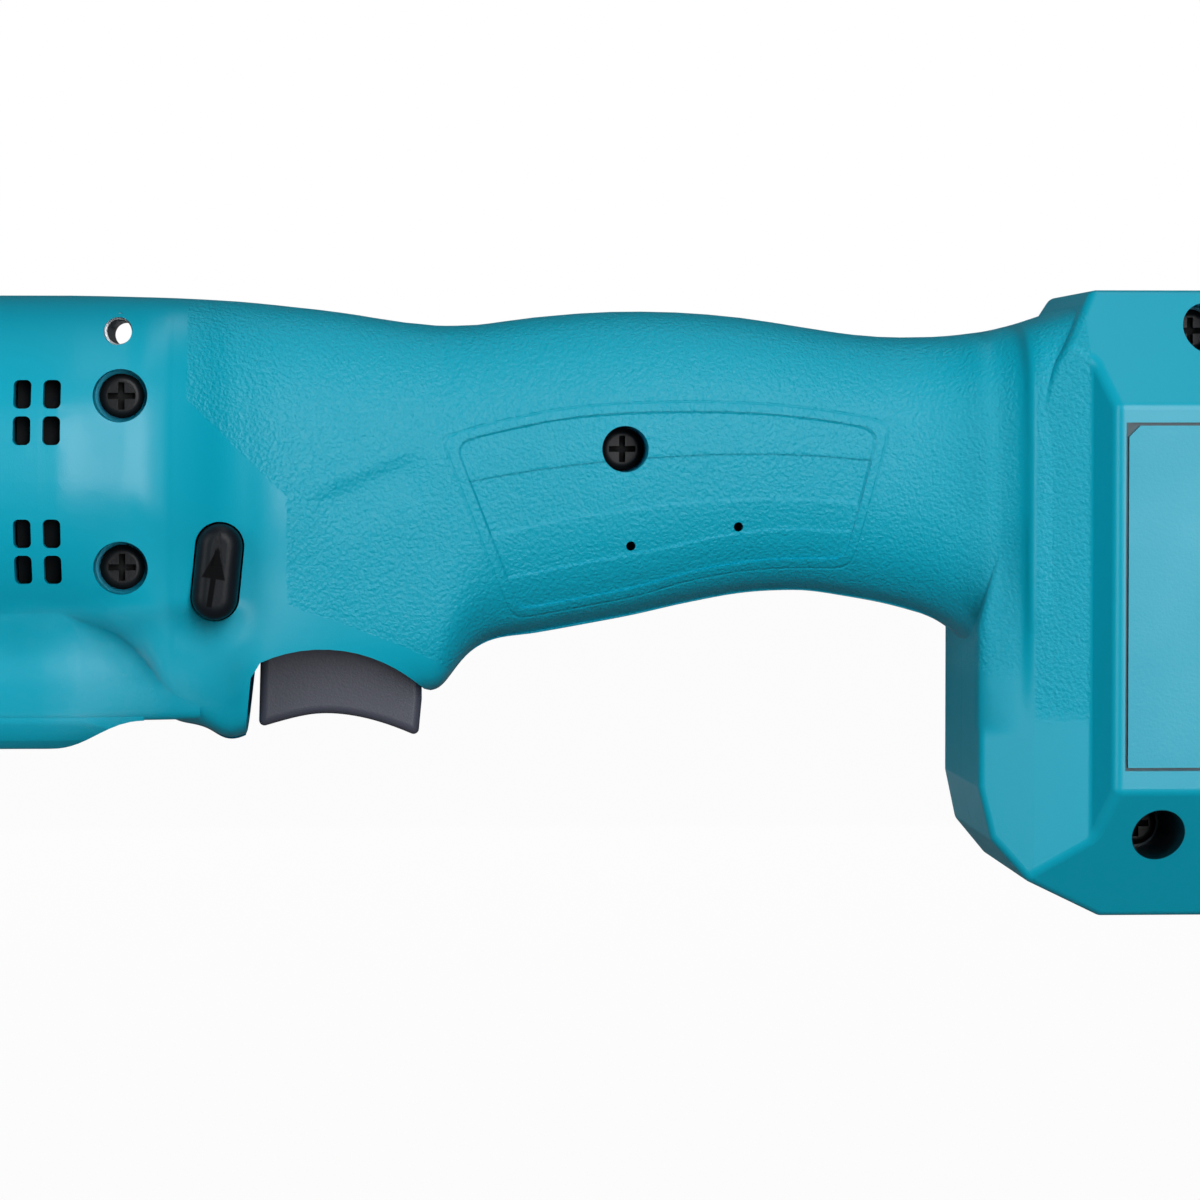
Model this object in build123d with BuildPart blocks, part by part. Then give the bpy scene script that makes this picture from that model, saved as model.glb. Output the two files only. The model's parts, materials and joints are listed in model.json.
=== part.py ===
"""Cordless angle screwdriver, built as an assembly of separate pieces.

Frame: the origin is the centre of the square drive's end face, on the output axis. +X runs back along the
motor axis to the battery, +Z is up and the trigger is below. The left side, -Y, carries the screw heads.
Lengths are millimetres. Heights named "from the axis" are measured from the motor axis.
"""

import math
import os

from build123d import *

# Driving dimensions: the whole tool
AXIS_Z = 40.0  # height of the motor axis above the end of the square drive
WALL = 2.6  # moulded housing wall
SEAM = 0.1  # parting gap between the two housing halves
FIT = 0.02  # radial room of a seated piece
RUN = 0.06  # radial room of a running piece
SLIP = 0.3  # room around a piece moved by hand

# Driving dimensions: barrel, lamp lobe and guard post, heights from the axis
BARREL_RADIUS = 30.5
HOUSING_FRONT = 110.0
BARREL_REAR = 177.5  # the barrel runs into the grip from here
LOBE_HALF_WIDTH = 20.5
LOBE_FRONT = 124.0
LOBE_DEPTH = 38.8
LOBE_BLEND = 13.0  # hollow between the barrel and the lobe
LOBE_BITE = 0.4  # how far the hollow runs into the barrel
LOBE_ROOT = -10.0  # the lobe's inside runs up into the barrel's to here
LOBE_RUN_IN = 0.15  # turn of the hollow inside the barrel, radians
LOBE_RAKE = 5.0  # slope of the lobe's front
LOBE_EDGE = 2.5  # rounding of the lobe's lower edges
LOBE_TAPER_START = 180.0  # the lobe narrows into the grip from here
LOBE_SHOULDER = (8.0, 4.0)  # length and width of the cut that ends the hollow before it
LOBE_REAR = 199.0
LOBE_REAR_HALF_WIDTH = 15.5
BULGE_DEPTH = 43.5
BULGE_FRONT = 130.0
BULGE_REAR = 190.0
BULGE_SLOPE = 15.5  # length of the bulge's soft end slopes
BULGE_BEVEL = 4.5
BULGE_ROUNDING = 1.6
BULGE_MARGIN = 0.8  # how far the bulge's side stands inside the lobe's
POST_DEPTH = 42.3
POST_REAR = 206.2

# How far each body runs past the parting plane before the two halves are cut apart
GRIP_PAST = 0.7
LOBE_PAST = 0.85
BULGE_PAST = 0.6
BOX_PAST = 1.2

# Trigger arch, as (distance along the tool, height from the axis)
ARCH_FOOT = (207.3, -32.0)
ARCH_FRONT = (208.9, -29.4)
ARCH_CROWN = (219.6, -27.3)
ARCH_REAR = (235.5, -34.1)
ARCH_HORN = (236.6, -34.5)

# Barrel and grip sections: distance along the tool, top and bottom from the axis, half width, fullness of
# the upper and lower half of the oval, and how much the lower half narrows towards the bottom
GRIP_STATIONS = (
    (HOUSING_FRONT, BARREL_RADIUS, -BARREL_RADIUS, BARREL_RADIUS, 2.0, 2.0, 0.0),
    (BARREL_REAR, BARREL_RADIUS, -BARREL_RADIUS, BARREL_RADIUS, 2.0, 2.0, 0.0),
    (182.0, 30.45, -31.2, 29.7, 2.02, 2.05, 0.02),
    (186.0, 30.35, -33.2, 28.6, 2.07, 2.2, 0.1),
    (190.5, 30.25, -36.6, 27.2, 2.15, 3.0, 0.24),
    (195.0, 30.1, -39.4, 25.7, 2.2, 5.0, 0.31),
    (199.5, 29.9, -40.5, 24.1, 2.3, 5.0, 0.28),
    (202.0, 29.75, -42.0, 23.3, 2.35, 5.0, 0.25),
    (204.5, 29.6, -42.4, 22.6, 2.38, 5.0, 0.24),
    (207.0, 29.4, -41.4, 22.0, 2.42, 5.0, 0.22),
    (212.0, 28.9, -40.0, 20.9, 2.5, 5.0, 0.17),
    (221.7, 27.8, -38.0, 19.6, 2.6, 5.0, 0.12),
    (231.7, 26.25, -35.6, 18.7, 2.65, 5.0, 0.08),
    (236.0, 25.8, -34.6, 18.35, 2.65, 5.0, 0.06),
    (238.4, 25.6, -34.0, 18.2, 2.63, 4.6, 0.05),
    (240.2, 25.6, -31.8, 18.15, 2.61, 4.0, 0.04),
    (242.2, 25.65, -29.3, 18.1, 2.6, 3.4, 0.02),
    (245.0, 25.8, -27.2, 18.0, 2.55, 2.9, 0.0),
    (248.0, 26.2, -26.1, 17.9, 2.5, 2.7, 0.0),
    (254.0, 27.0, -25.3, 17.9, 2.45, 2.5, 0.0),
    (262.0, 27.7, -23.9, 18.1, 2.4, 2.4, 0.0),
    (270.0, 28.0, -22.4, 18.2, 2.4, 2.4, 0.0),
    (279.0, 27.8, -20.4, 18.1, 2.4, 2.4, 0.0),
    (288.3, 27.0, -18.75, 17.8, 2.4, 2.4, 0.0),
    (297.0, 25.7, -18.3, 17.4, 2.4, 2.4, 0.0),
    (306.7, 24.25, -19.5, 17.2, 2.4, 2.4, 0.0),
    (315.0, 23.75, -21.25, 17.6, 2.45, 2.4, 0.0),
    (321.7, 23.9, -23.6, 19.0, 2.7, 2.7, 0.0),
    (326.7, 24.4, -27.6, 21.8, 3.2, 3.2, 0.0),
    (330.5, 25.0, -33.0, 25.1, 3.8, 3.8, 0.0),
    (333.5, 25.7, -37.0, 27.2, 4.4, 4.4, 0.0),
    (336.5, 26.5, -39.0, 28.0, 5.0, 5.0, 0.0),
    (342.0, 28.3, -41.0, 29.4, 5.0, 5.0, 0.0),
    (348.0, 30.0, -43.0, 30.4, 5.0, 5.0, 0.0),
)
SECTION_STEPS = 16  # points down each side of a section
GRIP_SECTIONS = 95  # evenly spaced sections that the skin runs through
HOLLOW_SECTIONS = 48  # the same for the hollow inside
OUTLINE_STEPS = 90  # fine steps that a section's points are chosen from

# Driving dimensions: battery box, heights from the axis
BOX_NOSE = 325.6
BOX_REAR = 385.0  # seat of the battery
BOX_TOP = 31.0
BOX_BOTTOM = -71.0
BOX_SIDE_TOP = 12.2  # the flat side runs between these
BOX_SIDE_BOTTOM = -49.6
BOX_HALF_WIDTH = 37.5
BOX_ROOF_HALF_WIDTH = 22.0
BOX_KEEL_HALF_WIDTH = 21.0
BOX_EDGE = 2.0  # rounding between the facets
BOX_FACETS = ((BOX_NOSE, 21.6), (333.9, 26.7), (342.4, 31.0), (345.3, BOX_HALF_WIDTH))
BOX_BROW = ((BOX_NOSE, -24.0), (331.5, 3.0), (337.0, 19.0), (343.5, BOX_TOP))
BOX_CHIN = ((BOX_NOSE, -50.0), (327.5, -58.4), (333.0, -64.8), (345.5, BOX_BOTTOM))

# Driving dimensions: grip details, as (distance along the tool, height from the axis)
PANEL_TOP = (
    (240.2, 6.2), (250.9, 8.9), (261.8, 10.7), (275.3, 11.4), (288.8, 11.2), (299.5, 10.2), (309.8, 8.4),
)
PANEL_BOTTOM = (
    (304.4, -13.0), (291.4, -13.1), (280.6, -14.7), (269.8, -17.6), (259.0, -19.7), (250.9, -21.2),
)
PANEL_CORNER = 2.4
PANEL_LINES = (
    ((234.0, -2.0), (242.9, 0.0), (264.4, 3.2), (283.3, 4.4), (294.1, 4.4), (308.6, 3.4), (316.0, 2.6)),
    ((236.0, -12.2), (246.3, -9.0), (267.1, -4.9), (288.7, -3.0), (307.0, -3.6), (316.0, -4.2)),
    ((238.0, -18.0), (249.9, -15.7), (272.5, -11.4), (294.1, -8.0), (305.4, -8.3), (316.0, -9.0)),
)
PANEL_DEPTHS = (0.25, 0.55, 0.4, 0.25)  # strips from the top one down
PIN_HOLES = ((269.2, -10.6), (286.8, -7.5))
PIN_HOLE_RADIUS = 0.78
HANGER = (186.1, 24.3)
HANGER_RADIUS = 2.0
HANGER_MOUTH_RADIUS = 2.3  # hole in the skin outside the sleeve
HANGER_SLEEVE = 1.0  # wall of the hanger sleeve
HANGER_HALF_LENGTH = 12.8
VENT_COLUMNS = (171.4, 176.1)
VENT_ROWS = (14.0, 8.2, -8.2, -14.0)
VENT_SIZE = (2.8, 4.6)
EXHAUST_COLUMNS = (119.8, 123.6)
EXHAUST_ROWS = (-14.0, -7.0, 0.0, 7.0, 14.0)
EXHAUST_SIZE = (2.2, 5.4)
PLATE_LEFT = 346.9
PLATE_RIGHT = 381.0
PLATE_TOP = 9.5
PLATE_BOTTOM = -46.1
PLATE_RECESS = 0.9
PLATE_THICKNESS = 0.7
PLATE_GAP = 0.5
PLATE_CORNER = 1.4
PLATE_SNIP = 1.8

# Housing screws: distance along the tool, height from the axis, seat of the head, recess radius, length
SCREWS = (
    (186.8, 13.8, -18.5, 4.3, 28.0),
    (186.8, -13.8, -18.5, 4.3, 28.0),
    (268.2, 5.2, -6.0, 3.78, 18.0),
    (150.0, -36.0, -6.0, 3.9, 18.0),
    (353.3, -56.8, -8.0, 4.2, 20.0),
    (362.0, 24.7, -8.0, 4.2, 20.0),
)
SCREW_RADIUS = 1.9
SCREW_HEAD_RADIUS = 3.6
SCREW_HEAD_DOME = 1.2  # rounding of the head
SCREW_SLOT_WIDTH = 1.0
SCREW_SLOT_LENGTH = 4.4
SCREW_SLOT_DEPTH = 1.4
SCREW_HEAD_HEIGHT = 2.4
BOSS_WALL = 1.6

# Driving dimensions: trigger, switch and reversing lever
TRIGGER_FRONT = 208.3
TRIGGER_REAR = 235.2
TRIGGER_HALF_WIDTH = 8.5
TRIGGER_CROWN = -25.3
TRIGGER_TRAVEL = 6.0
TRIGGER_ROUNDING = 1.4
TRIGGER_CORNER = 0.9  # rounding of the paddle's two lower corners
TRIGGER_TIP = (208.4, -40.6)
TRIGGER_HEEL = (234.6, -42.2)
TRIGGER_HOLLOW = ((228.4, -39.8), (223.2, -38.6), (217.6, -38.4), (213.0, -39.3))
SWITCH_BOTTOM = -18.8
SWITCH_TOP = -1.5
SWITCH_FRONT = 209.5
SWITCH_REAR = 236.5
SWITCH_HALF_WIDTH = 8.0
PLUNGER_X = 222.0
PLUNGER_RADIUS = 2.6
LEVER = (202.1, -14.5)
LEVER_HEIGHT = 15.6
LEVER_WIDTH = 7.3
LEVER_TILT = 5.9
LEVER_ROUNDING = 2.4
LEVER_ARROW = (2.0, 6.4)  # foot and height of the arrow sunk into its face
LEVER_ARROW_RISE = 0.9
LEVER_LEFT = -25.6
LEVER_RIGHT = 19.4

# Driving dimensions: work lamp
LENS_RADIUS = 4.5
LENS_Z = -33.3
LENS_FRONT = 125.4
LENS_REAR = 132.0

# Driving dimensions: motor
STATOR_FRONT = 129.5
STATOR_REAR = 159.5
STATOR_RADIUS = 25.0
STATOR_BORE = 13.2
STATOR_YOKE = 21.2
STATOR_TEETH = 6
ROTOR_RADIUS = 12.6
ROTOR_MAGNETS = 4
SHAFT_RADIUS = 3.5
SHAFT_CORE_RADIUS = 4.0
SHAFT_TAIL_RADIUS = 2.5
FRONT_BEARING = (105.6, 111.6, 9.5)
REAR_BEARING = (166.0, 171.0, 8.0)
WEB_FRONT = 168.4  # web that carries the rear bearing
WEB_THICKNESS = 2.0
SCREEN_REAR = 178.9  # dust screen behind the vents
SCREEN_RADIUS = 27.3
SCREEN_THICKNESS = 0.6
FAN_ROOM = 3.0  # between the gear case and the fan
FAN_WIDTH = 7.0
FAN_RADIUS = 23.6
FAN_BLADES = 11

# Driving dimensions: planetary gears
MODULE = 0.75
PRESSURE_ANGLE = math.radians(20)
SUN_TEETH = 15
PLANET_TEETH = 18
RING_TEETH = SUN_TEETH + 2 * PLANET_TEETH
PLANETS = 3
TOOTH_THINNING = 0.09  # taken off each tooth for backlash
ADDENDUM = 0.85
DEDENDUM = 1.15
RING_RADIUS = 22.8
RING_FRONT = 84.4
RING_REAR = 104.4
PIN_RADIUS = 2.0
CARRIER_RADIUS = 17.8
STAGES = ((97.0, 103.0), (85.2, 90.8))  # front and rear face of the planets, first stage first
CARRIERS = ((91.5, 96.5), (79.0, 84.6))
SUN_FRONT = 96.9

# Driving dimensions: clutch and drive spindle
CAM_FRONT = 75.0
CAM_RADIUS = 18.6
BALL_RADIUS = 1.6
BALL_CIRCLE = 14.2
BALLS = 6
DISC_FRONT = 69.6
DISC_REAR = 73.4
NUT_FRONT = 56.8
NUT_REAR = 60.8
SPRING_RADIUS = 11.5
SPRING_WIRE = 1.0
SPRING_TURNS = 3
SPINDLE_RADIUS = 6.0
SPINDLE_FRONT = 47.2
SPINDLE_BEARING = (48.2, 55.2, 11.0)

# Driving dimensions: gear case and union nut
CASE_FRONT = 37.3
CASE_REAR = 115.4
FAN_FRONT = CASE_REAR + FAN_ROOM
FAN_REAR = FAN_FRONT + FAN_WIDTH
CASE_RADIUS = 26.0
CASE_NECK_RADIUS = 17.5
CASE_CLUTCH_RADIUS = 23.5
CASE_CLUTCH_BORE = 20.0
CASE_FLANGE_RADIUS = 27.6
CASE_FLANGE_FRONT = 112.6
COVER_FRONT = 52.2
COVER_REAR = 66.0
COVER_RADIUS = 25.0
WINDOW = (55.0, 62.6)
WINDOW_HALF_HEIGHT = 4.5
UNION_FRONT = 28.0
UNION_REAR = 49.0
UNION_FLATS = 41.0

# Driving dimensions: angle head, heights from the end of the square drive
HEAD_RADIUS = 17.5
HEAD_BORE = 14.5
HEAD_BOTTOM = 14.0
HEAD_TOP = 56.0
HEAD_CEILING = 46.2
HEAD_NECK_RADIUS = 14.0
HEAD_FLANGE_RADIUS = 17.4
HEAD_FLANGE = (31.8, 37.1)
HEAD_SPIGOT_RADIUS = 12.0
HEAD_SPIGOT_REAR = 46.2
PINION_TEETH = 14
WHEEL_TEETH = 21
BEVEL_MODULE = 1.25
BEVEL_FACE = 6.0
PINION_SHAFT_RADIUS = 5.0
PINION_TAIL_RADIUS = 4.0
PINION_TAIL_REAR = 55.0
PINION_BEARINGS = ((17.0, 24.0), (29.0, 36.0))
PINION_BEARING_RADIUS = 9.5
DRIVE_SIZE = 9.5
DRIVE_LENGTH = 11.5
OUTPUT_COLLAR_RADIUS = 7.8
OUTPUT_JOURNAL_RADIUS = 6.0
OUTPUT_BEARING = (20.0, 28.0)
OUTPUT_WHEEL_RADIUS = 5.5
OUTPUT_TOP_RADIUS = 4.0
OUTPUT_TOP = 52.0
TOP_BUSH_RADIUS = 6.5
TOP_BUSH = (46.6, 52.6)
DETENT_RADIUS = 1.5
DETENT_Z = 5.75
DETENT_REACH = 0.8  # how far the pin stands out of the square
DETENT_TRAVEL = 0.9
DETENT_FLOOR = 1.0

# Driving dimensions: battery and its rails, heights from the axis
RAIL_REAR = 396.0
RAIL_LIP_FRONT = 391.7
RAIL_INNER = 34.6
RAIL_LIP_INNER = 30.6
BATTERY_FLANGE_FRONT = 385.4
BATTERY_FRONT = 396.4
BATTERY_SPLIT = 407.0
BATTERY_REAR = 432.0
BATTERY_TOP = 32.0
BATTERY_BOTTOM = -80.0
BATTERY_HALF_WIDTH = 37.5
BATTERY_CORNER = 9.0
BATTERY_WALL = 2.2
CELLS = 5
CELL_RADIUS = 9.1
CELL_LENGTH = 65.0
CELL_PITCH = 19.4
CELL_X = 419.0
CONTROLLER_RIBS = (346.0, 368.0)
CONTROLLER_RIB = 2.5
TERMINAL_HALF_WIDTH = 22.0
TERMINAL_BOTTOM = -34.0
TERMINAL_TOP = 8.0
BLADE_Y = 14.0
BLADE_THICKNESS = 0.8
BLADE_BOTTOM = -14.0
BLADE_TOP = 6.0
LATCH_HALF_WIDTH = 11.6
LATCH_BOTTOM = -78.0
LATCH_TOP = -67.5
LATCH_FACE = 386.6
LATCH_REAR = 398.5
LATCH_FLOOR = 403.0
BOARD_FRONT = 400.6

MOTOR_AXIS = Axis((0, 0, AXIS_Z), (1, 0, 0))
OUTPUT_AXIS = Axis((0, 0, 0), (0, 0, 1))


def section_plane(x):
    """The plane across the tool at x, with its origin on the motor axis."""
    return Plane(origin=(x, 0, AXIS_Z), x_dir=(0, 1, 0), z_dir=(1, 0, 0))


def side_plane(y):
    """The plane seen from the left side at y, with its origin above the drive on the motor axis."""
    return Plane(origin=(0, y, AXIS_Z), x_dir=(1, 0, 0), z_dir=(0, -1, 0))


def spread(points, steps):
    """Points at even distances along a fine outline, its ends included."""
    lengths = [0.0]
    for first, second in zip(points, points[1:]):
        lengths.append(lengths[-1] + math.dist(first, second))
    chosen = [points[0]]
    for step in range(1, steps):
        goal = lengths[-1] * step / steps
        after = next(i for i, length in enumerate(lengths) if length >= goal)
        share = (goal - lengths[after - 1]) / (lengths[after] - lengths[after - 1])
        chosen.append(tuple(p + share * (q - p) for p, q in zip(points[after - 1], points[after])))
    return chosen + [points[-1]]


def section_points(top, bottom, half_width, upper, lower, narrowing, inset):
    """Points down the left side of a full oval section: fullness 2 is an ellipse, more is squarer."""
    middle = (top + bottom) / 2
    half_height = (top - bottom) / 2 - inset
    width = half_width - inset
    outline = []
    for step in range(OUTLINE_STEPS + 1):
        turn = math.pi * step / OUTLINE_STEPS
        fullness = upper if step <= OUTLINE_STEPS / 2 else lower
        across = max(math.sin(turn), 0) ** (2 / fullness)
        up = math.copysign(abs(math.cos(turn)) ** (2 / fullness), math.cos(turn))
        outline.append((-width * across * (1 + narrowing * min(up, 0)), middle + half_height * up))
    outline[0] = (0, middle + half_height)
    outline[-1] = (0, middle - half_height)
    return spread(outline, SECTION_STEPS)


def eased(values, places, x):
    """A smooth curve through values given at places, level at its peaks and plateaus, read at x."""
    last = len(places) - 1
    span = max(i for i in range(last) if places[i] <= x or i == 0)
    slopes = []
    for i in (span, span + 1):
        before = max(i - 1, 0)
        after = min(i + 1, last)
        steady = (values[i] - values[before]) * (values[after] - values[i]) > 0
        slope = (values[after] - values[before]) / (places[after] - places[before])
        slopes.append(slope if steady else 0)
    length = places[span + 1] - places[span]
    t = (x - places[span]) / length
    start = (1 + 2 * t) * (1 - t) ** 2 * values[span] + t * (1 - t) ** 2 * length * slopes[0]
    end = t**2 * (3 - 2 * t) * values[span + 1] + t**2 * (t - 1) * length * slopes[1]
    return start + end


def grip_section(x):
    """Top, bottom, half width, fullness and narrowing of the grip at x, eased between its stations."""
    columns = list(zip(*GRIP_STATIONS))
    return [eased(column, columns[0], x) for column in columns[1:]]


def grip_body(inset):
    """Left half of barrel and grip as one lofted solid, drawn inset from the outer skin."""
    first = HOUSING_FRONT - inset
    sections = HOLLOW_SECTIONS if inset else GRIP_SECTIONS
    pitch = (GRIP_STATIONS[-1][0] - first) / sections
    shares = [step / SECTION_STEPS for step in range(SECTION_STEPS + 1)]
    with BuildPart() as body:
        for number in range(sections + 1):
            x = first + number * pitch
            with BuildSketch(section_plane(x)):
                with BuildLine():
                    points = section_points(*grip_section(x), inset)
                    ends = (Vector(-1, 0), Vector(1, 0))
                    add(Edge.make_spline([Vector(*point) for point in points], ends, parameters=shares))
                    past = GRIP_PAST + inset
                    Polyline(points[-1], (past, points[-1][1]), (past, points[0][1]), points[0])
                make_face()
        loft()
    return body.part


def lobe_plan(inset):
    """The lobe seen from above: it narrows at the rear until it is inside the grip's skin."""
    width = LOBE_HALF_WIDTH + LOBE_BLEND
    length, out = LOBE_SHOULDER
    shoulder = LOBE_TAPER_START - length
    with BuildSketch(Plane.XY) as face:
        with BuildLine():
            Polyline((LOBE_FRONT, width), (LOBE_FRONT, -width), (shoulder - 1, -width),
                     (shoulder, inset - LOBE_HALF_WIDTH - out), (LOBE_TAPER_START, inset - LOBE_HALF_WIDTH),
                     (LOBE_REAR, inset - LOBE_REAR_HALF_WIDTH), (LOBE_REAR, width), close=True)
        make_face()
    return face.sketch


def lobe_section(inset):
    """Outline across the lobe: a hollow runs it into the barrel outside, and plain walls do inside."""
    half_width = LOBE_HALF_WIDTH - inset
    belly = inset - LOBE_DEPTH
    past = LOBE_PAST + inset
    with BuildSketch(section_plane(LOBE_FRONT + inset)) as face:
        with BuildLine():
            if inset:
                Polyline((past, LOBE_ROOT), (-half_width, LOBE_ROOT), (-half_width, belly), (past, belly),
                         close=True)
            else:
                blend_y = half_width + LOBE_BLEND
                blend_z = -math.sqrt((BARREL_RADIUS + LOBE_BLEND - LOBE_BITE) ** 2 - blend_y**2)
                first = math.atan2(-blend_z, -blend_y) - LOBE_RUN_IN
                turns = (first, (first + math.pi) / 2, math.pi)
                bend = [(-blend_y - LOBE_BLEND * math.cos(turn), blend_z + LOBE_BLEND * math.sin(turn))
                        for turn in turns]
                ThreePointArc(*bend)
                Polyline(bend[2], (-half_width, belly), (past, belly), (past, bend[0][1]), bend[0])
        make_face()
    return face.sketch


def lobe_body(inset):
    """Left half of the lamp lobe under the barrel, drawn inset from the outer skin."""
    belly = inset - LOBE_DEPTH
    with BuildPart() as body:
        extrude(lobe_section(inset), amount=LOBE_REAR - LOBE_FRONT - inset)
        with BuildSketch(side_plane(LOBE_PAST + inset)):
            with BuildLine():
                front = LOBE_FRONT + inset
                Polyline((front, -5), (front, -27), (front + LOBE_RAKE, belly), (LOBE_REAR, belly),
                         (LOBE_REAR, -5), close=True)
            make_face()
        extrude(amount=2 * BARREL_RADIUS, mode=Mode.INTERSECT)
        extrude(lobe_plan(inset), amount=AXIS_Z, both=True, mode=Mode.INTERSECT)
        if not inset:
            low = [e for e in body.edges() if e.center().Y < -0.01 and e.center().Z < AXIS_Z - 26.9]
            fillet([e for e in low if e.center().X < LOBE_REAR - 0.1], LOBE_EDGE)
    return body.part


def bulge_body():
    """Left half of the shallow bulge under the lobe, with soft slopes at its ends and a bevelled side."""
    top = LOBE_EDGE - LOBE_DEPTH
    half_width = LOBE_HALF_WIDTH - BULGE_MARGIN
    with BuildPart() as body:
        with BuildSketch(section_plane(BULGE_FRONT)) as across:
            with BuildLine():
                Polyline((BULGE_PAST, top), (-half_width, top), (-half_width, -LOBE_DEPTH),
                         (BULGE_BEVEL - half_width, -BULGE_DEPTH), (BULGE_PAST, -BULGE_DEPTH), close=True)
            make_face()
            low = [v for v in across.vertices() if v.Y < -1 and v.Z < AXIS_Z + top - 0.1]
            fillet(low, BULGE_ROUNDING)
        extrude(amount=BULGE_REAR - BULGE_FRONT)
        with BuildSketch(side_plane(BULGE_PAST)):
            with BuildLine():
                slopes = (BULGE_FRONT, BULGE_FRONT + BULGE_SLOPE, BULGE_REAR - BULGE_SLOPE, BULGE_REAR)
                depths = (LOBE_DEPTH, BULGE_DEPTH, BULGE_DEPTH, LOBE_DEPTH)
                corners = [(x, -depth) for x, depth in zip(slopes, depths)]
                Spline(corners[0], corners[1], tangents=((1, 0), (1, 0)))
                Line(corners[1], corners[2])
                Spline(corners[2], corners[3], tangents=((1, 0), (1, 0)))
                Polyline(corners[3], (BULGE_REAR, top), (BULGE_FRONT, top), corners[0])
            make_face()
        extrude(amount=LOBE_HALF_WIDTH + BULGE_PAST, mode=Mode.INTERSECT)
        extrude(lobe_plan(BULGE_MARGIN), amount=AXIS_Z, both=True, mode=Mode.INTERSECT)
    return body.part


def box_body(inset):
    """Left half of the faceted battery box, drawn inset from the outer skin."""
    with BuildPart() as body:
        with BuildSketch(Plane.XY.offset(AXIS_Z + BOX_BOTTOM)):
            with BuildLine():
                rim = list(BOX_FACETS) + [(BOX_REAR, BOX_HALF_WIDTH)]
                Polyline(*[(x, -y) for x, y in rim], *reversed(rim), close=True)
            make_face()
            if inset:
                offset(amount=-inset, kind=Kind.INTERSECTION, mode=Mode.REPLACE)
        extrude(amount=BOX_TOP - BOX_BOTTOM)
        with BuildSketch(section_plane(BOX_NOSE)):
            with BuildLine():
                rim = ((BOX_ROOF_HALF_WIDTH, BOX_TOP), (BOX_HALF_WIDTH, BOX_SIDE_TOP),
                       (BOX_HALF_WIDTH, BOX_SIDE_BOTTOM), (BOX_KEEL_HALF_WIDTH, BOX_BOTTOM))
                Polyline(*[(-y, z) for y, z in rim], *reversed(rim), close=True)
            make_face()
            if inset:
                offset(amount=-inset, kind=Kind.INTERSECTION, mode=Mode.REPLACE)
        extrude(amount=BOX_REAR - BOX_NOSE, mode=Mode.INTERSECT)
        with BuildSketch(side_plane(BOX_PAST + inset)):
            with BuildLine():
                Polyline(*BOX_BROW, (BOX_REAR, BOX_TOP), (BOX_REAR, BOX_BOTTOM), *reversed(BOX_CHIN),
                         close=True)
            make_face()
            if inset:
                offset(amount=-inset, kind=Kind.INTERSECTION, mode=Mode.REPLACE)
        extrude(amount=2 * BOX_HALF_WIDTH, mode=Mode.INTERSECT)
        if not inset:
            outer = [e for e in body.edges() if e.center().Y < -0.01 and e.center().X < BOX_REAR - 0.01]
            fillet(outer, BOX_EDGE)
    return body.part


def half_body(inset):
    """Left half of barrel, grip, lobe and battery box as one solid, drawn inset from the outer skin."""
    with BuildPart() as body:
        add(grip_body(inset))
        add(box_body(inset))
        add(lobe_body(inset))
        if not inset:
            add(bulge_body())
    return body.part


def block(x, y, z, mode=Mode.ADD):
    """A plain block between pairs of limits, heights from the axis."""
    with Locations(((x[0] + x[1]) / 2, (y[0] + y[1]) / 2, AXIS_Z + (z[0] + z[1]) / 2)):
        Box(x[1] - x[0], y[1] - y[0], z[1] - z[0], mode=mode)


def rod_x(x, radius, y=0.0, z=0.0, mode=Mode.ADD):
    """A rod along the tool between two distances, heights from the axis."""
    with Locations(Location(((x[0] + x[1]) / 2, y, AXIS_Z + z), (0, 90, 0))):
        Cylinder(radius, x[1] - x[0], mode=mode)


def rod_y(x, z, y, radius, mode=Mode.ADD):
    """A rod across the tool between two places, heights from the axis."""
    with Locations(Location((x, (y[0] + y[1]) / 2, AXIS_Z + z), (90, 0, 0))):
        Cylinder(radius, y[1] - y[0], mode=mode)


def rod_z(x, y, z, radius, mode=Mode.ADD):
    """An upright rod between two heights from the axis."""
    with Locations((x, y, AXIS_Z + (z[0] + z[1]) / 2)):
        Cylinder(radius, z[1] - z[0], mode=mode)


def turned(*points):
    """A half section round the motor axis, from (distance along the tool, radius) points."""
    with BuildSketch(Plane.XZ) as face:
        with BuildLine():
            Polyline(*[(x, AXIS_Z + radius) for x, radius in points], close=True)
        make_face()
    return face.sketch


def ring_face(front, rear, inner, outer):
    """Half section of a plain ring round the motor axis."""
    return turned((front, inner), (rear, inner), (rear, outer), (front, outer))


def upright(*points):
    """A half section round the output axis, from (radius, height above the drive's end) points."""
    with BuildSketch(Plane.XZ) as face:
        with BuildLine():
            Polyline(*points, close=True)
        make_face()
    return face.sketch


def panel_face():
    """Outline of the grip panel seen from the left."""
    with BuildSketch(side_plane(0)) as face:
        with BuildLine():
            Spline(*PANEL_TOP)
            Line(PANEL_TOP[-1], PANEL_BOTTOM[0])
            Spline(*PANEL_BOTTOM)
            Line(PANEL_BOTTOM[-1], PANEL_TOP[0])
        make_face()
        fillet(face.vertices(), PANEL_CORNER)
    return face.sketch


def strip_face(number):
    """The belt between two lines of the grip panel, counted from the top."""
    lines = (((234.0, 20.0), (316.0, 20.0)),) + PANEL_LINES + (((238.0, -30.0), (316.0, -30.0)),)
    upper = lines[number]
    lower = lines[number + 1]
    with BuildSketch(side_plane(0)) as face:
        with BuildLine():
            Spline(*upper)
            Line(upper[-1], lower[-1])
            Spline(*reversed(lower))
            Line(lower[0], upper[0])
        make_face()
    return face.sketch


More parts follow.
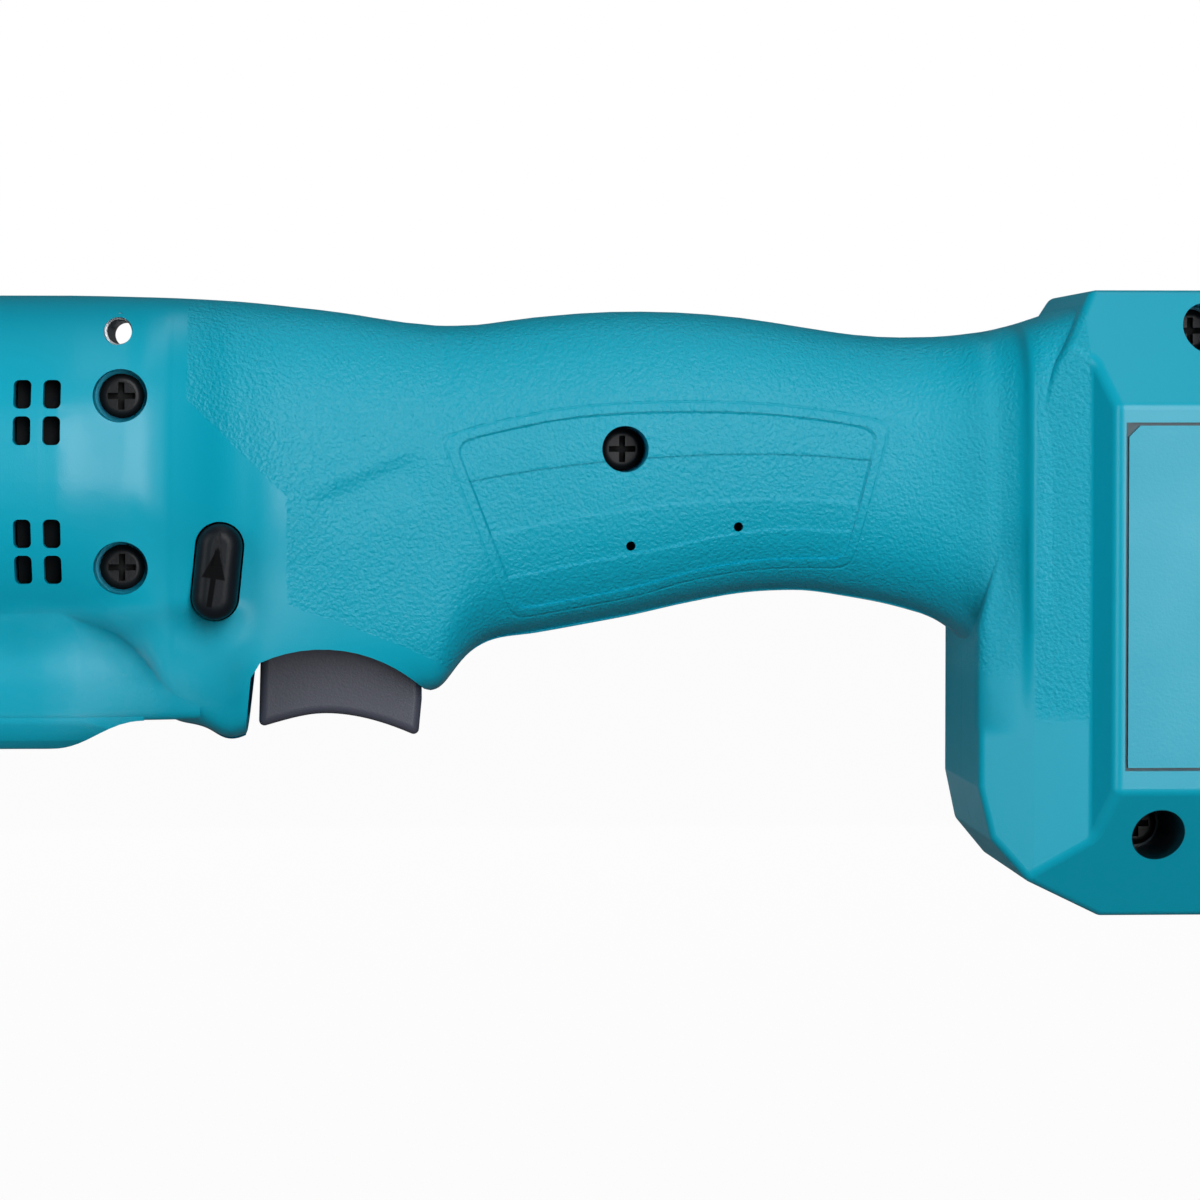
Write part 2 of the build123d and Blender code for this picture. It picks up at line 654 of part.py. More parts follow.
def lever_face(grow=0.0):
    """Tilted pill outline of the reversing lever, seen from the left."""
    with BuildSketch(side_plane(0)) as face:
        with Locations(LEVER):
            SlotOverall(LEVER_HEIGHT + 2 * grow, LEVER_WIDTH + 2 * grow, rotation=90 - LEVER_TILT)
    return face.sketch


def arch_face():
    """The opening under the grip that the trigger hangs in, seen from the left."""
    with BuildSketch(side_plane(0)) as face:
        with BuildLine():
            corner = (ARCH_HORN[0], -60)
            Polyline(corner, (POST_REAR - 1.5, -60), (POST_REAR, -POST_DEPTH), ARCH_FOOT, ARCH_FRONT)
            ThreePointArc(ARCH_FRONT, ARCH_CROWN, ARCH_REAR)
            Polyline(ARCH_REAR, ARCH_HORN, corner)
        make_face()
    return face.sketch


def lens_face():
    """Half section of the lamp lens, with a domed front."""
    with BuildSketch(side_plane(0)) as face:
        with BuildLine():
            crown = (LENS_FRONT, LENS_Z)
            rim = (LENS_FRONT + 2.0, LENS_Z + LENS_RADIUS)
            ThreePointArc(crown, (LENS_FRONT + 0.45, LENS_Z + 2.6), rim)
            Polyline(rim, (LENS_REAR - FIT, LENS_Z + LENS_RADIUS), (LENS_REAR - FIT, LENS_Z), crown)
        make_face()
    return face.sketch


def involute(angle):
    """Involute function of a pressure angle."""
    return math.tan(angle) - angle


def half_tooth(radius, teeth, module, thinning):
    """Half the angle that a tooth spans at a radius."""
    pitch_radius = module * teeth / 2
    base_radius = pitch_radius * math.cos(PRESSURE_ANGLE)
    half = (math.pi * module / 2 - thinning) / (2 * pitch_radius)
    flank = math.acos(min(base_radius / radius, 1.0))
    return half + involute(PRESSURE_ANGLE) - involute(flank)


def tooth_ring(teeth, turn, profile):
    """Points round a gear from (radius, half angle) pairs of one flank, the first tooth centred at turn."""
    points = []
    for tooth in range(teeth):
        middle = turn + 2 * math.pi * tooth / teeth
        for radius, half in profile:
            points.append((radius * math.cos(middle - half), radius * math.sin(middle - half)))
        for radius, half in reversed(profile):
            points.append((radius * math.cos(middle + half), radius * math.sin(middle + half)))
    return points


def flank_radii(root, tip):
    """Radii down one flank, from root to tip."""
    return [root + (tip - root) * share for share in (0.0, 0.3, 0.55, 0.8, 1.0)]


def spur_face(x, teeth, turn, y=0.0, z=0.0):
    """Outline of a spur gear across the tool at x, with its centre at y, z from the axis."""
    pitch_radius = MODULE * teeth / 2
    radii = flank_radii(pitch_radius - DEDENDUM * MODULE, pitch_radius + ADDENDUM * MODULE)
    profile = [(r, half_tooth(r, teeth, MODULE, TOOTH_THINNING)) for r in radii]
    with BuildSketch(section_plane(x)) as face:
        with BuildLine():
            Polyline(*[(y + a, z + b) for a, b in tooth_ring(teeth, turn, profile)], close=True)
        make_face()
    return face.sketch


def ring_gear_hole(x, turn):
    """Toothed hole of the ring gear across the tool at x, with a ring tooth centred at turn."""
    pitch_radius = MODULE * RING_TEETH / 2
    radii = flank_radii(pitch_radius - ADDENDUM * MODULE, pitch_radius + DEDENDUM * MODULE)
    profile = [(r, half_tooth(r, RING_TEETH, MODULE, -TOOTH_THINNING)) for r in radii]
    with BuildSketch(section_plane(x)) as face:
        with BuildLine():
            Polyline(*tooth_ring(RING_TEETH, turn + math.pi / RING_TEETH, profile), close=True)
        make_face()
    return face.sketch


def planet_place(number):
    """Angle and centre of one planet round the motor axis."""
    angle = 2 * math.pi * number / PLANETS
    reach = MODULE * (SUN_TEETH + PLANET_TEETH) / 2
    return angle, reach * math.cos(angle), reach * math.sin(angle)


def planet_turn(number):
    """Turn of one planet that meshes it with a sun whose first tooth is at zero."""
    angle = planet_place(number)[0]
    return angle + math.pi + (math.pi + angle * SUN_TEETH) / PLANET_TEETH


RING_TURN = (math.pi + planet_turn(0) * PLANET_TEETH) / RING_TEETH


def bevel_points(teeth, mate, turn, share):
    """Outline of a bevel gear across its own axis, share 1 at its heel and less towards the shared apex."""
    cone = math.atan2(teeth, mate)
    pitch_radius = BEVEL_MODULE * teeth / 2
    height = pitch_radius / math.tan(cone)
    virtual = teeth / math.cos(cone)
    profile = []
    for out in flank_radii(-DEDENDUM * BEVEL_MODULE, ADDENDUM * BEVEL_MODULE):
        half = half_tooth(BEVEL_MODULE * virtual / 2 + out, virtual, BEVEL_MODULE, TOOTH_THINNING)
        radius = (pitch_radius + out * math.cos(cone)) * height / (height - out * math.sin(cone))
        profile.append((radius * share, half / math.cos(cone)))
    return tooth_ring(teeth, turn, profile)


BEVEL_CONE = BEVEL_MODULE * math.hypot(PINION_TEETH, WHEEL_TEETH) / 2
BEVEL_TOE = 1 - BEVEL_FACE / BEVEL_CONE
PINION_HEEL = BEVEL_MODULE * WHEEL_TEETH / 2  # distance of the pinion's heel from the apex
WHEEL_HEEL = BEVEL_MODULE * PINION_TEETH / 2


def bearing(front, rear, outer, inner):
    """A ball bearing round the motor axis, drawn as one closed ring with a groove in each face."""
    groove = 0.5
    low = inner + 0.32 * (outer - inner)
    high = outer - 0.32 * (outer - inner)
    return turned((front, inner), (front, low), (front + groove, low), (front + groove, high),
                  (front, high), (front, outer), (rear, outer), (rear, high), (rear - groove, high),
                  (rear - groove, low), (rear, low), (rear, inner))


# Housing: ribs and bosses, the hollow round them, and what is cut out of both halves
with BuildPart() as ribs:
    rings = [
        (HOUSING_FRONT, CASE_FLANGE_FRONT - 0.1, CASE_RADIUS + 0.1, BARREL_RADIUS),
        (CASE_REAR + 0.1, CASE_REAR + 2.1, 25.2, BARREL_RADIUS),
        (STATOR_FRONT + 3, STATOR_FRONT + 6, STATOR_RADIUS + FIT, BARREL_RADIUS),
        (STATOR_REAR - 6, STATOR_REAR - 3, STATOR_RADIUS + FIT, BARREL_RADIUS),
        (REAR_BEARING[0], REAR_BEARING[1] + 1.5, SHAFT_TAIL_RADIUS + 1, REAR_BEARING[2] + 3),
        (WEB_FRONT, WEB_FRONT + WEB_THICKNESS, REAR_BEARING[2] + 2, BARREL_RADIUS),
    ]
    for ring in rings:
        revolve(ring_face(*ring), axis=MOTOR_AXIS)
    with BuildSketch(section_plane(WEB_FRONT - 1)):
        with PolarLocations(19.4, 8, start_angle=22.5):
            Circle(5.4)
    extrude(amount=4, mode=Mode.SUBTRACT)
    for x, z, seat, recess, length in SCREWS:
        rod_y(x, z, (-BOX_HALF_WIDTH, 1), recess + BOSS_WALL)
    rod_y(*HANGER, (-BARREL_RADIUS, 1), HANGER_RADIUS + HANGER_SLEEVE + 1.8)
    for front in (SWITCH_FRONT + 4, SWITCH_REAR - 7):
        block((front, front + 2), (-22, 1), (SWITCH_BOTTOM + 3, SWITCH_TOP + 4))
    for front in CONTROLLER_RIBS:
        block((front, front + CONTROLLER_RIB), (-BOX_HALF_WIDTH, 1), (-42, 12))
    block((LOBE_FRONT, LENS_REAR + 4), (-LOBE_HALF_WIDTH, 1), (-39, -28))

with BuildPart() as cutters:
    rod_x(REAR_BEARING[:2], REAR_BEARING[2] + FIT)
    block((SWITCH_FRONT - FIT, SWITCH_REAR + FIT), (-SWITCH_HALF_WIDTH - FIT, 1),
          (SWITCH_BOTTOM - FIT, SWITCH_TOP + FIT))
    block((BOX_REAR - 5, BOX_REAR + 5), (-TERMINAL_HALF_WIDTH, 1), (TERMINAL_BOTTOM, TERMINAL_TOP))
    block((BOX_REAR - 4, BOX_REAR + 1), (-LATCH_HALF_WIDTH - 0.6, 1), (BOX_BOTTOM - 4, LATCH_TOP + 1.5))
    rod_x((118, LENS_REAR + 2), LENS_RADIUS + FIT, z=LENS_Z)
    # Trigger arch and the pocket above it
    extrude(arch_face(), amount=40)
    block((ARCH_FOOT[0] + 0.2, TRIGGER_REAR + SLIP), (-TRIGGER_HALF_WIDTH - SLIP, 1), (-60, SWITCH_BOTTOM))
    # Lever slot, vents, hanger, pin holes and plate recess
    extrude(lever_face(SLIP), amount=40)
    with BuildSketch(side_plane(-17)):
        for x in VENT_COLUMNS:
            for z in VENT_ROWS:
                with Locations((x, z)):
                    RectangleRounded(*VENT_SIZE, 0.9)
        for x in EXHAUST_COLUMNS:
            for z in EXHAUST_ROWS:
                with Locations((x, z)):
                    RectangleRounded(*EXHAUST_SIZE, 0.9)
    extrude(amount=20)
    rod_y(*HANGER, (-40, 1), HANGER_MOUTH_RADIUS)
    rod_y(*HANGER, (-HANGER_HALF_LENGTH - FIT, 1), HANGER_RADIUS + HANGER_SLEEVE + FIT)
    for x, z in PIN_HOLES:
        rod_y(x, z, (-40, -12), PIN_HOLE_RADIUS)
    with BuildSketch(side_plane(PLATE_RECESS - BOX_HALF_WIDTH)):
        with Locations(((PLATE_LEFT + PLATE_RIGHT) / 2, (PLATE_TOP + PLATE_BOTTOM) / 2)):
            RectangleRounded(PLATE_RIGHT - PLATE_LEFT, PLATE_TOP - PLATE_BOTTOM, PLATE_CORNER)
    extrude(amount=5)
    block((100, 400), (-SEAM / 2, 5), (-90, 90))

with BuildPart() as hollow:
    add(half_body(WALL))
    add(ribs.part, mode=Mode.SUBTRACT)

with BuildPart() as half_shell:
    add(half_body(0))
    add(hollow.part, mode=Mode.SUBTRACT)
    rail = (BOX_SIDE_BOTTOM, BOX_SIDE_TOP)
    block((BOX_REAR - 1, RAIL_REAR), (-BOX_HALF_WIDTH, -RAIL_INNER), rail)
    block((RAIL_LIP_FRONT, RAIL_REAR), (-BOX_HALF_WIDTH, -RAIL_LIP_INNER), rail)
    add(cutters.part, mode=Mode.SUBTRACT)


def panel_strip(number, depth):
    """One strip of the grip panel, reaching from outside to a depth below the skin."""
    with BuildPart() as strip:
        extrude(panel_face(), amount=25)
        extrude(strip_face(number), amount=25, mode=Mode.INTERSECT)
        add(grip_body(depth), mode=Mode.SUBTRACT)
    return strip.part


# Shallow strips of the grip panel, and the recesses of the screw heads
with BuildPart() as panel_cut:
    for number, depth in enumerate(PANEL_DEPTHS):
        add(panel_strip(number, depth))

with BuildPart() as screw_recesses:
    for x, z, seat, recess, length in SCREWS:
        rod_y(x, z, (-50, seat), recess)
        rod_y(x, z, (seat - 1, 1), SCREW_RADIUS + SLIP)

with BuildPart() as pilot_holes:
    for x, z, seat, recess, length in SCREWS:
        rod_y(x, z, (-seat - length - 0.5, 1), SCREW_RADIUS + FIT)

with BuildPart() as plain_half:
    add(half_shell.part)
    add(panel_cut.part, mode=Mode.SUBTRACT)

with BuildPart() as housing_left:
    add(plain_half.part)
    add(screw_recesses.part, mode=Mode.SUBTRACT)

with BuildPart() as housing_right:
    add(plain_half.part)
    add(pilot_holes.part, mode=Mode.SUBTRACT)
    mirror(about=Plane.XZ, mode=Mode.REPLACE)

with BuildPart() as housing_screws:
    for x, z, seat, recess, length in SCREWS:
        crown = seat - SCREW_HEAD_HEIGHT
        rod_y(x, z, (crown, seat), SCREW_HEAD_RADIUS)
        middle = Vector(x, crown, AXIS_Z + z)
        rims = housing_screws.edges().filter_by(GeomType.CIRCLE)
        fillet(rims.filter_by(lambda e: (e.arc_center - middle).length < 0.01), SCREW_HEAD_DOME)
        rod_y(x, z, (seat, seat + length), SCREW_RADIUS)
        slot = (crown - 1, crown + SCREW_SLOT_DEPTH)
        near, far = SCREW_SLOT_WIDTH / 2, SCREW_SLOT_LENGTH / 2
        block((x - far, x + far), slot, (z - near, z + near), mode=Mode.SUBTRACT)
        block((x - near, x + near), slot, (z - far, z + far), mode=Mode.SUBTRACT)

with BuildPart() as dust_screen:
    screen_front = WEB_FRONT + WEB_THICKNESS + FIT
    revolve(ring_face(screen_front, SCREEN_REAR, SCREEN_RADIUS - SCREEN_THICKNESS, SCREEN_RADIUS),
            axis=MOTOR_AXIS)

with BuildPart() as hanger_sleeve:
    rod_y(*HANGER, (-HANGER_HALF_LENGTH, HANGER_HALF_LENGTH), HANGER_RADIUS + HANGER_SLEEVE)
    rod_y(*HANGER, (-HANGER_HALF_LENGTH - 1, HANGER_HALF_LENGTH + 1), HANGER_RADIUS, mode=Mode.SUBTRACT)


def plate_face(y):
    """Outline of a rating plate with one snipped corner."""
    left = PLATE_LEFT + PLATE_GAP
    right = PLATE_RIGHT - PLATE_GAP
    top = PLATE_TOP - PLATE_GAP
    bottom = PLATE_BOTTOM + PLATE_GAP
    with BuildSketch(side_plane(y)) as face:
        with BuildLine():
            Polyline((left, bottom), (left, top - PLATE_SNIP), (left + PLATE_SNIP, top), (right, top),
                     (right, bottom), close=True)
        make_face()
    return face.sketch


with BuildPart() as name_plates:
    extrude(plate_face(PLATE_RECESS - BOX_HALF_WIDTH), amount=PLATE_THICKNESS)
    extrude(plate_face(BOX_HALF_WIDTH - PLATE_RECESS), amount=-PLATE_THICKNESS)

# Work lamp in the front of the lobe
with BuildPart() as lamp_lens:
    revolve(lens_face(), axis=Axis((0, 0, AXIS_Z + LENS_Z), (1, 0, 0)))

with BuildPart() as lamp_board:
    rod_x((LENS_REAR, LENS_REAR + 1.6), LENS_RADIUS, z=LENS_Z)

# Trigger, switch and reversing lever
with BuildPart() as trigger:
    with BuildSketch(side_plane(-TRIGGER_HALF_WIDTH)) as paddle:
        with BuildLine():
            Polyline(TRIGGER_TIP, (TRIGGER_FRONT + 0.5, TRIGGER_CROWN), (TRIGGER_REAR, TRIGGER_CROWN),
                     (TRIGGER_REAR, -36.0), TRIGGER_HEEL)
            Spline(TRIGGER_HEEL, *TRIGGER_HOLLOW, TRIGGER_TIP)
        make_face()
        fillet(paddle.vertices().filter_by(lambda v: v.Z < AXIS_Z - 39), TRIGGER_CORNER)
    extrude(amount=-2 * TRIGGER_HALF_WIDTH)
    sides = trigger.edges().filter_by(lambda e: abs(e.center().Y) > TRIGGER_HALF_WIDTH - 0.01)
    fillet(sides.filter_by(lambda e: e.center().Z < AXIS_Z - 35), TRIGGER_ROUNDING)
    rod_z(PLUNGER_X, 0, (TRIGGER_CROWN - 4, TRIGGER_CROWN + 1), PLUNGER_RADIUS + FIT, mode=Mode.SUBTRACT)

with BuildPart() as switch_plunger:
    rod_z(PLUNGER_X, 0, (TRIGGER_CROWN - 4, SWITCH_BOTTOM + 5), PLUNGER_RADIUS)

with BuildPart() as trigger_spring:
    foot = (PLUNGER_X, 0, AXIS_Z + TRIGGER_CROWN + 0.5)
    with BuildLine() as coil:
        Helix(1.3, SWITCH_BOTTOM - TRIGGER_CROWN - 1.0, 4.0, center=foot)
    with BuildSketch(Plane(origin=coil.line @ 0, z_dir=coil.line % 0)):
        Circle(0.4)
    sweep(path=coil.line)

with BuildPart() as switch_body:
    block((SWITCH_FRONT, SWITCH_REAR), (-SWITCH_HALF_WIDTH, SWITCH_HALF_WIDTH),
          (SWITCH_BOTTOM, SWITCH_TOP))
    rod_z(PLUNGER_X, 0, (SWITCH_BOTTOM - 1, SWITCH_BOTTOM + 5 + TRIGGER_TRAVEL + 0.6), PLUNGER_RADIUS + 0.1,
          mode=Mode.SUBTRACT)

with BuildPart() as reverse_lever:
    extrude(lever_face(), amount=-LEVER_LEFT)
    extrude(lever_face(), amount=-LEVER_RIGHT)
    fillet(reverse_lever.faces().sort_by(Axis.Y)[0].edges(), LEVER_ROUNDING)
    with BuildSketch(side_plane(LEVER_LEFT + 0.35)):
        with Locations((LEVER[0], LEVER[1] + LEVER_ARROW_RISE)):
            foot, height = LEVER_ARROW
            Polygon((-foot / 2, 0), (foot / 2, 0), (0, height), rotation=-LEVER_TILT)
    extrude(amount=2, mode=Mode.SUBTRACT)

# Motor
with BuildPart() as stator_core:
    with BuildSketch(section_plane(STATOR_FRONT)):
        Circle(STATOR_RADIUS)
        Circle(STATOR_YOKE, mode=Mode.SUBTRACT)
        with PolarLocations(17.8, STATOR_TEETH):
            Rectangle(8.0, 6.0)
        with PolarLocations(15.2, STATOR_TEETH):
            Rectangle(2.4, 11.0)
        Circle(STATOR_BORE, mode=Mode.SUBTRACT)
    extrude(amount=STATOR_REAR - STATOR_FRONT)

with BuildPart() as stator_coils:
    with BuildSketch(section_plane(STATOR_FRONT - 2.8)):
        with PolarLocations(18.3, STATOR_TEETH):
            Rectangle(3.2, 13.0)
    extrude(amount=STATOR_REAR - STATOR_FRONT + 5.4)
    with BuildSketch(section_plane(STATOR_FRONT - 0.3)):
        with PolarLocations(18.3, STATOR_TEETH):
            Rectangle(8.0, 6.4)
    extrude(amount=STATOR_REAR - STATOR_FRONT + 0.6, mode=Mode.SUBTRACT)

with BuildPart() as rotor_core:
    rod_x((STATOR_FRONT + 0.5, STATOR_REAR - 0.5), ROTOR_RADIUS)
    rod_x((STATOR_FRONT, STATOR_REAR), SHAFT_CORE_RADIUS + FIT, mode=Mode.SUBTRACT)
    with BuildSketch(section_plane(STATOR_FRONT)):
        with PolarLocations(8.6, ROTOR_MAGNETS):
            Rectangle(2.6 + 2 * FIT, 13.0 + 2 * FIT)
    extrude(amount=STATOR_REAR - STATOR_FRONT, mode=Mode.SUBTRACT)

with BuildPart() as rotor_magnets:
    with BuildSketch(section_plane(STATOR_FRONT + 1)):
        with PolarLocations(8.6, ROTOR_MAGNETS):
            Rectangle(2.6, 13.0)
    extrude(amount=STATOR_REAR - STATOR_FRONT - 2)

with BuildPart() as rotor_shaft:
    revolve(turned((SUN_FRONT + 6.6, 0), (SUN_FRONT + 6.6, SHAFT_RADIUS), (STATOR_FRONT - 1, SHAFT_RADIUS),
                   (STATOR_FRONT - 1, SHAFT_CORE_RADIUS), (STATOR_REAR + 2, SHAFT_CORE_RADIUS),
                   (STATOR_REAR + 2, SHAFT_TAIL_RADIUS), (REAR_BEARING[1], SHAFT_TAIL_RADIUS),
                   (REAR_BEARING[1], 0)), axis=MOTOR_AXIS)
    extrude(spur_face(SUN_FRONT, SUN_TEETH, 0), amount=6.6)

with BuildPart() as fan:
    rod_x((FAN_FRONT, FAN_REAR), 7.0)
    rod_x((FAN_REAR - 1.2, FAN_REAR), FAN_RADIUS)
    with BuildSketch(section_plane(FAN_FRONT + 0.4)):
        with PolarLocations(14.8, FAN_BLADES):
            Rectangle(17.0, 1.2, rotation=14)
    extrude(amount=FAN_REAR - FAN_FRONT - 0.6)
    rod_x((FAN_FRONT - 1, FAN_REAR + 1), SHAFT_RADIUS + FIT, mode=Mode.SUBTRACT)

with BuildPart() as sensor_board:
    revolve(ring_face(163.2, 164.8, 9.6, 24.4), axis=MOTOR_AXIS)
    with BuildSketch(section_plane(STATOR_REAR + FIT)):
        with PolarLocations(23.0, 3, start_angle=30):
            Circle(1.2)
    extrude(amount=163.6 - STATOR_REAR)

with BuildPart() as motor_bearings:
    revolve(bearing(*FRONT_BEARING, SHAFT_RADIUS + FIT), axis=MOTOR_AXIS)
    rear_bearing = (REAR_BEARING[0] + 0.2, REAR_BEARING[1] - 0.1, REAR_BEARING[2])
    revolve(bearing(*rear_bearing, SHAFT_TAIL_RADIUS + FIT), axis=MOTOR_AXIS)

with BuildPart() as bearing_bracket:
    front = RING_REAR + 0.1
    step = FRONT_BEARING[0] - FIT
    rear = FRONT_BEARING[1] + 1
    seat = FRONT_BEARING[2] + FIT
    revolve(turned((front, 6.8), (step, 6.8), (step, seat), (rear, seat), (rear, 13.0), (108.6, 15.0),
                   (108.6, RING_RADIUS), (front, RING_RADIUS)), axis=MOTOR_AXIS)

# Planetary reduction
with BuildPart() as ring_gear:
    rod_x((RING_FRONT, RING_REAR), RING_RADIUS)
    extrude(ring_gear_hole(RING_FRONT - 1, RING_TURN), amount=RING_REAR - RING_FRONT + 2, mode=Mode.SUBTRACT)


def planet(stage, number):
    """One planet gear of a stage on its pin's place."""
    front, rear = STAGES[stage]
    angle, y, z = planet_place(number)
    with BuildPart() as gear:
        extrude(spur_face(front, PLANET_TEETH, planet_turn(number), y, z), amount=rear - front)
        rod_x((front - 1, rear + 1), PIN_RADIUS + RUN, y=y, z=z, mode=Mode.SUBTRACT)
    return gear


def add_pins(stage):
    """The pressed-in pins of a stage, joined to its carrier."""
    for number in range(PLANETS):
        angle, y, z = planet_place(number)
        rod_x((CARRIERS[stage][1] - 1, STAGES[stage][1] + 0.4), PIN_RADIUS, y=y, z=z)


with BuildPart() as carrier_first:
    rod_x(CARRIERS[0], CARRIER_RADIUS)
    extrude(spur_face(STAGES[1][0], SUN_TEETH, 0), amount=CARRIERS[0][0] - STAGES[1][0] + 0.5)
    add_pins(0)

with BuildPart() as carrier_second:
    rod_x(CARRIERS[1], CARRIER_RADIUS)
    rod_x((CARRIERS[1][0] - 1, CARRIERS[1][0] + 4), PINION_TAIL_RADIUS + FIT, mode=Mode.SUBTRACT)
    add_pins(1)

# Clutch and drive spindle
BALL_X = (CAM_FRONT + DISC_REAR) / 2


def ball_places():
    """Centres of the clutch balls."""
    turns = [2 * math.pi * number / BALLS for number in range(BALLS)]
    return [(BALL_X, BALL_CIRCLE * math.cos(a), AXIS_Z + BALL_CIRCLE * math.sin(a)) for a in turns]


with BuildPart() as clutch_balls:
    with Locations(*ball_places()):
        Sphere(BALL_RADIUS)

with BuildPart() as clutch_cam:
    revolve(ring_face(CAM_FRONT, CARRIERS[1][0] - FIT, SPINDLE_RADIUS + 1, CAM_RADIUS), axis=MOTOR_AXIS)
    with Locations(*ball_places()):
        Sphere(BALL_RADIUS + FIT, rotation=(0, 90, 0), mode=Mode.SUBTRACT)

with BuildPart() as clutch_disc:
    revolve(ring_face(DISC_FRONT, DISC_REAR, SPINDLE_RADIUS + FIT, CAM_RADIUS), axis=MOTOR_AXIS)
    with Locations(*ball_places()):
        Sphere(BALL_RADIUS + FIT, rotation=(0, 90, 0), mode=Mode.SUBTRACT)

with BuildPart() as clutch_spring:
    rise = DISC_FRONT - NUT_REAR - 2 * SPRING_WIRE - 0.1
    front = NUT_REAR + SPRING_WIRE + 0.08
    with BuildLine() as coil:
        Helix(rise / SPRING_TURNS, rise, SPRING_RADIUS, center=(front, 0, AXIS_Z), direction=(1, 0, 0))
    with BuildSketch(Plane(origin=coil.line @ 0, z_dir=coil.line % 0)):
        Circle(SPRING_WIRE)
    sweep(path=coil.line)

with BuildPart() as adjusting_nut:
    revolve(ring_face(NUT_FRONT, NUT_REAR, SPINDLE_RADIUS + RUN, 17.5), axis=MOTOR_AXIS)
    with BuildSketch(section_plane(NUT_FRONT - 1)):
        with PolarLocations(17.0, 12):
            Rectangle(4.0, 3.2)
    extrude(amount=4, mode=Mode.SUBTRACT)

with BuildPart() as drive_spindle:
    pilot = CARRIERS[1][0] + 3.8
    bore = PINION_TAIL_RADIUS + RUN
    collar = (SPINDLE_BEARING[1] + 0.1, NUT_FRONT - 0.3)
    step = CARRIERS[1][0] - 0.3
    floor = PINION_TAIL_REAR + 0.6
    revolve(turned((SPINDLE_FRONT, bore), (SPINDLE_FRONT, SPINDLE_RADIUS), (collar[0], SPINDLE_RADIUS),
                   (collar[0], 7.6), (collar[1], 7.6), (collar[1], SPINDLE_RADIUS), (step, SPINDLE_RADIUS),
                   (step, PINION_TAIL_RADIUS), (pilot, PINION_TAIL_RADIUS), (pilot, 0), (floor, 0),
                   (floor, bore)), axis=MOTOR_AXIS)

with BuildPart() as spindle_bearing:
    revolve(bearing(*SPINDLE_BEARING, SPINDLE_RADIUS + FIT), axis=MOTOR_AXIS)

# Gear case, window cover and union nut
with BuildPart() as gear_case:
    bore = RING_RADIUS + FIT
    seat = SPINDLE_BEARING[2] + FIT
    revolve(turned((CASE_FRONT, HEAD_SPIGOT_RADIUS + RUN), (CASE_FRONT, CASE_NECK_RADIUS),
                   (50.0, CASE_NECK_RADIUS), (50.0, COVER_RADIUS - 0.8),
                   (COVER_FRONT - SLIP, COVER_RADIUS - 0.8),
                   (COVER_FRONT - SLIP, CASE_CLUTCH_RADIUS), (COVER_REAR + SLIP, CASE_CLUTCH_RADIUS),
                   (COVER_REAR + SLIP, COVER_RADIUS - 0.4), (81.0, COVER_RADIUS - 0.4), (84.0, CASE_RADIUS),
                   (CASE_FLANGE_FRONT, CASE_RADIUS), (CASE_FLANGE_FRONT, CASE_FLANGE_RADIUS),
                   (CASE_REAR, CASE_FLANGE_RADIUS), (CASE_REAR, bore), (RING_FRONT - 0.1, bore),
                   (RING_FRONT - 0.1, CASE_CLUTCH_BORE), (56.0, CASE_CLUTCH_BORE), (56.0, seat),
                   (SPINDLE_BEARING[0] - 0.1, seat), (SPINDLE_BEARING[0] - 0.1, 9.0), (46.6, 9.0),
                   (46.6, HEAD_SPIGOT_RADIUS + RUN)), axis=MOTOR_AXIS)
    block(WINDOW, (-30, -10), (-WINDOW_HALF_HEIGHT, WINDOW_HALF_HEIGHT), mode=Mode.SUBTRACT)

with BuildPart() as window_cover:
    revolve(ring_face(COVER_FRONT, COVER_REAR, CASE_CLUTCH_RADIUS + RUN, COVER_RADIUS), axis=MOTOR_AXIS)
    block(WINDOW, (-WINDOW_HALF_HEIGHT, WINDOW_HALF_HEIGHT), (10, 30), mode=Mode.SUBTRACT)
    with BuildSketch(section_plane(COVER_FRONT - 1)):
        with PolarLocations(COVER_RADIUS + 0.5, 36):
            Circle(0.9)
    extrude(amount=30, mode=Mode.SUBTRACT)

with BuildPart() as union_nut:
    with BuildSketch(section_plane(UNION_FRONT)):
        RegularPolygon(UNION_FLATS / 2, 6, major_radius=False)
        Circle(UNION_FLATS / 2 + 2.0, mode=Mode.INTERSECT)
    extrude(amount=UNION_REAR - UNION_FRONT)
    rod_x((UNION_FRONT - 1, UNION_REAR + 1), HEAD_NECK_RADIUS + 0.15, mode=Mode.SUBTRACT)
    rod_x((HEAD_FLANGE[0] - 0.15, UNION_REAR + 1), CASE_NECK_RADIUS + 0.08, mode=Mode.SUBTRACT)

# Angle head
with BuildPart() as head_housing:
    revolve(upright((0, HEAD_BOTTOM), (HEAD_RADIUS - 1, HEAD_BOTTOM), (HEAD_RADIUS, HEAD_BOTTOM + 1),
                    (HEAD_RADIUS, HEAD_TOP - 5), (HEAD_RADIUS - 5, HEAD_TOP), (0, HEAD_TOP)),
            axis=OUTPUT_AXIS)
    rod_x((0, HEAD_FLANGE[0] + 1), HEAD_NECK_RADIUS)
    rod_x(HEAD_FLANGE, HEAD_FLANGE_RADIUS)
    rod_x((HEAD_FLANGE[0], HEAD_SPIGOT_REAR), HEAD_SPIGOT_RADIUS)
    rod_z(0, 0, (HEAD_BOTTOM - 1 - AXIS_Z, HEAD_CEILING - AXIS_Z), HEAD_BORE, mode=Mode.SUBTRACT)
    rod_z(0, 0, (0, TOP_BUSH[1] + 0.4 - AXIS_Z), TOP_BUSH_RADIUS + FIT, mode=Mode.SUBTRACT)
    rod_x((6, HEAD_SPIGOT_REAR + 1), PINION_BEARING_RADIUS + FIT, mode=Mode.SUBTRACT)
    rod_x((6, 16.8), 10.6, mode=Mode.SUBTRACT)

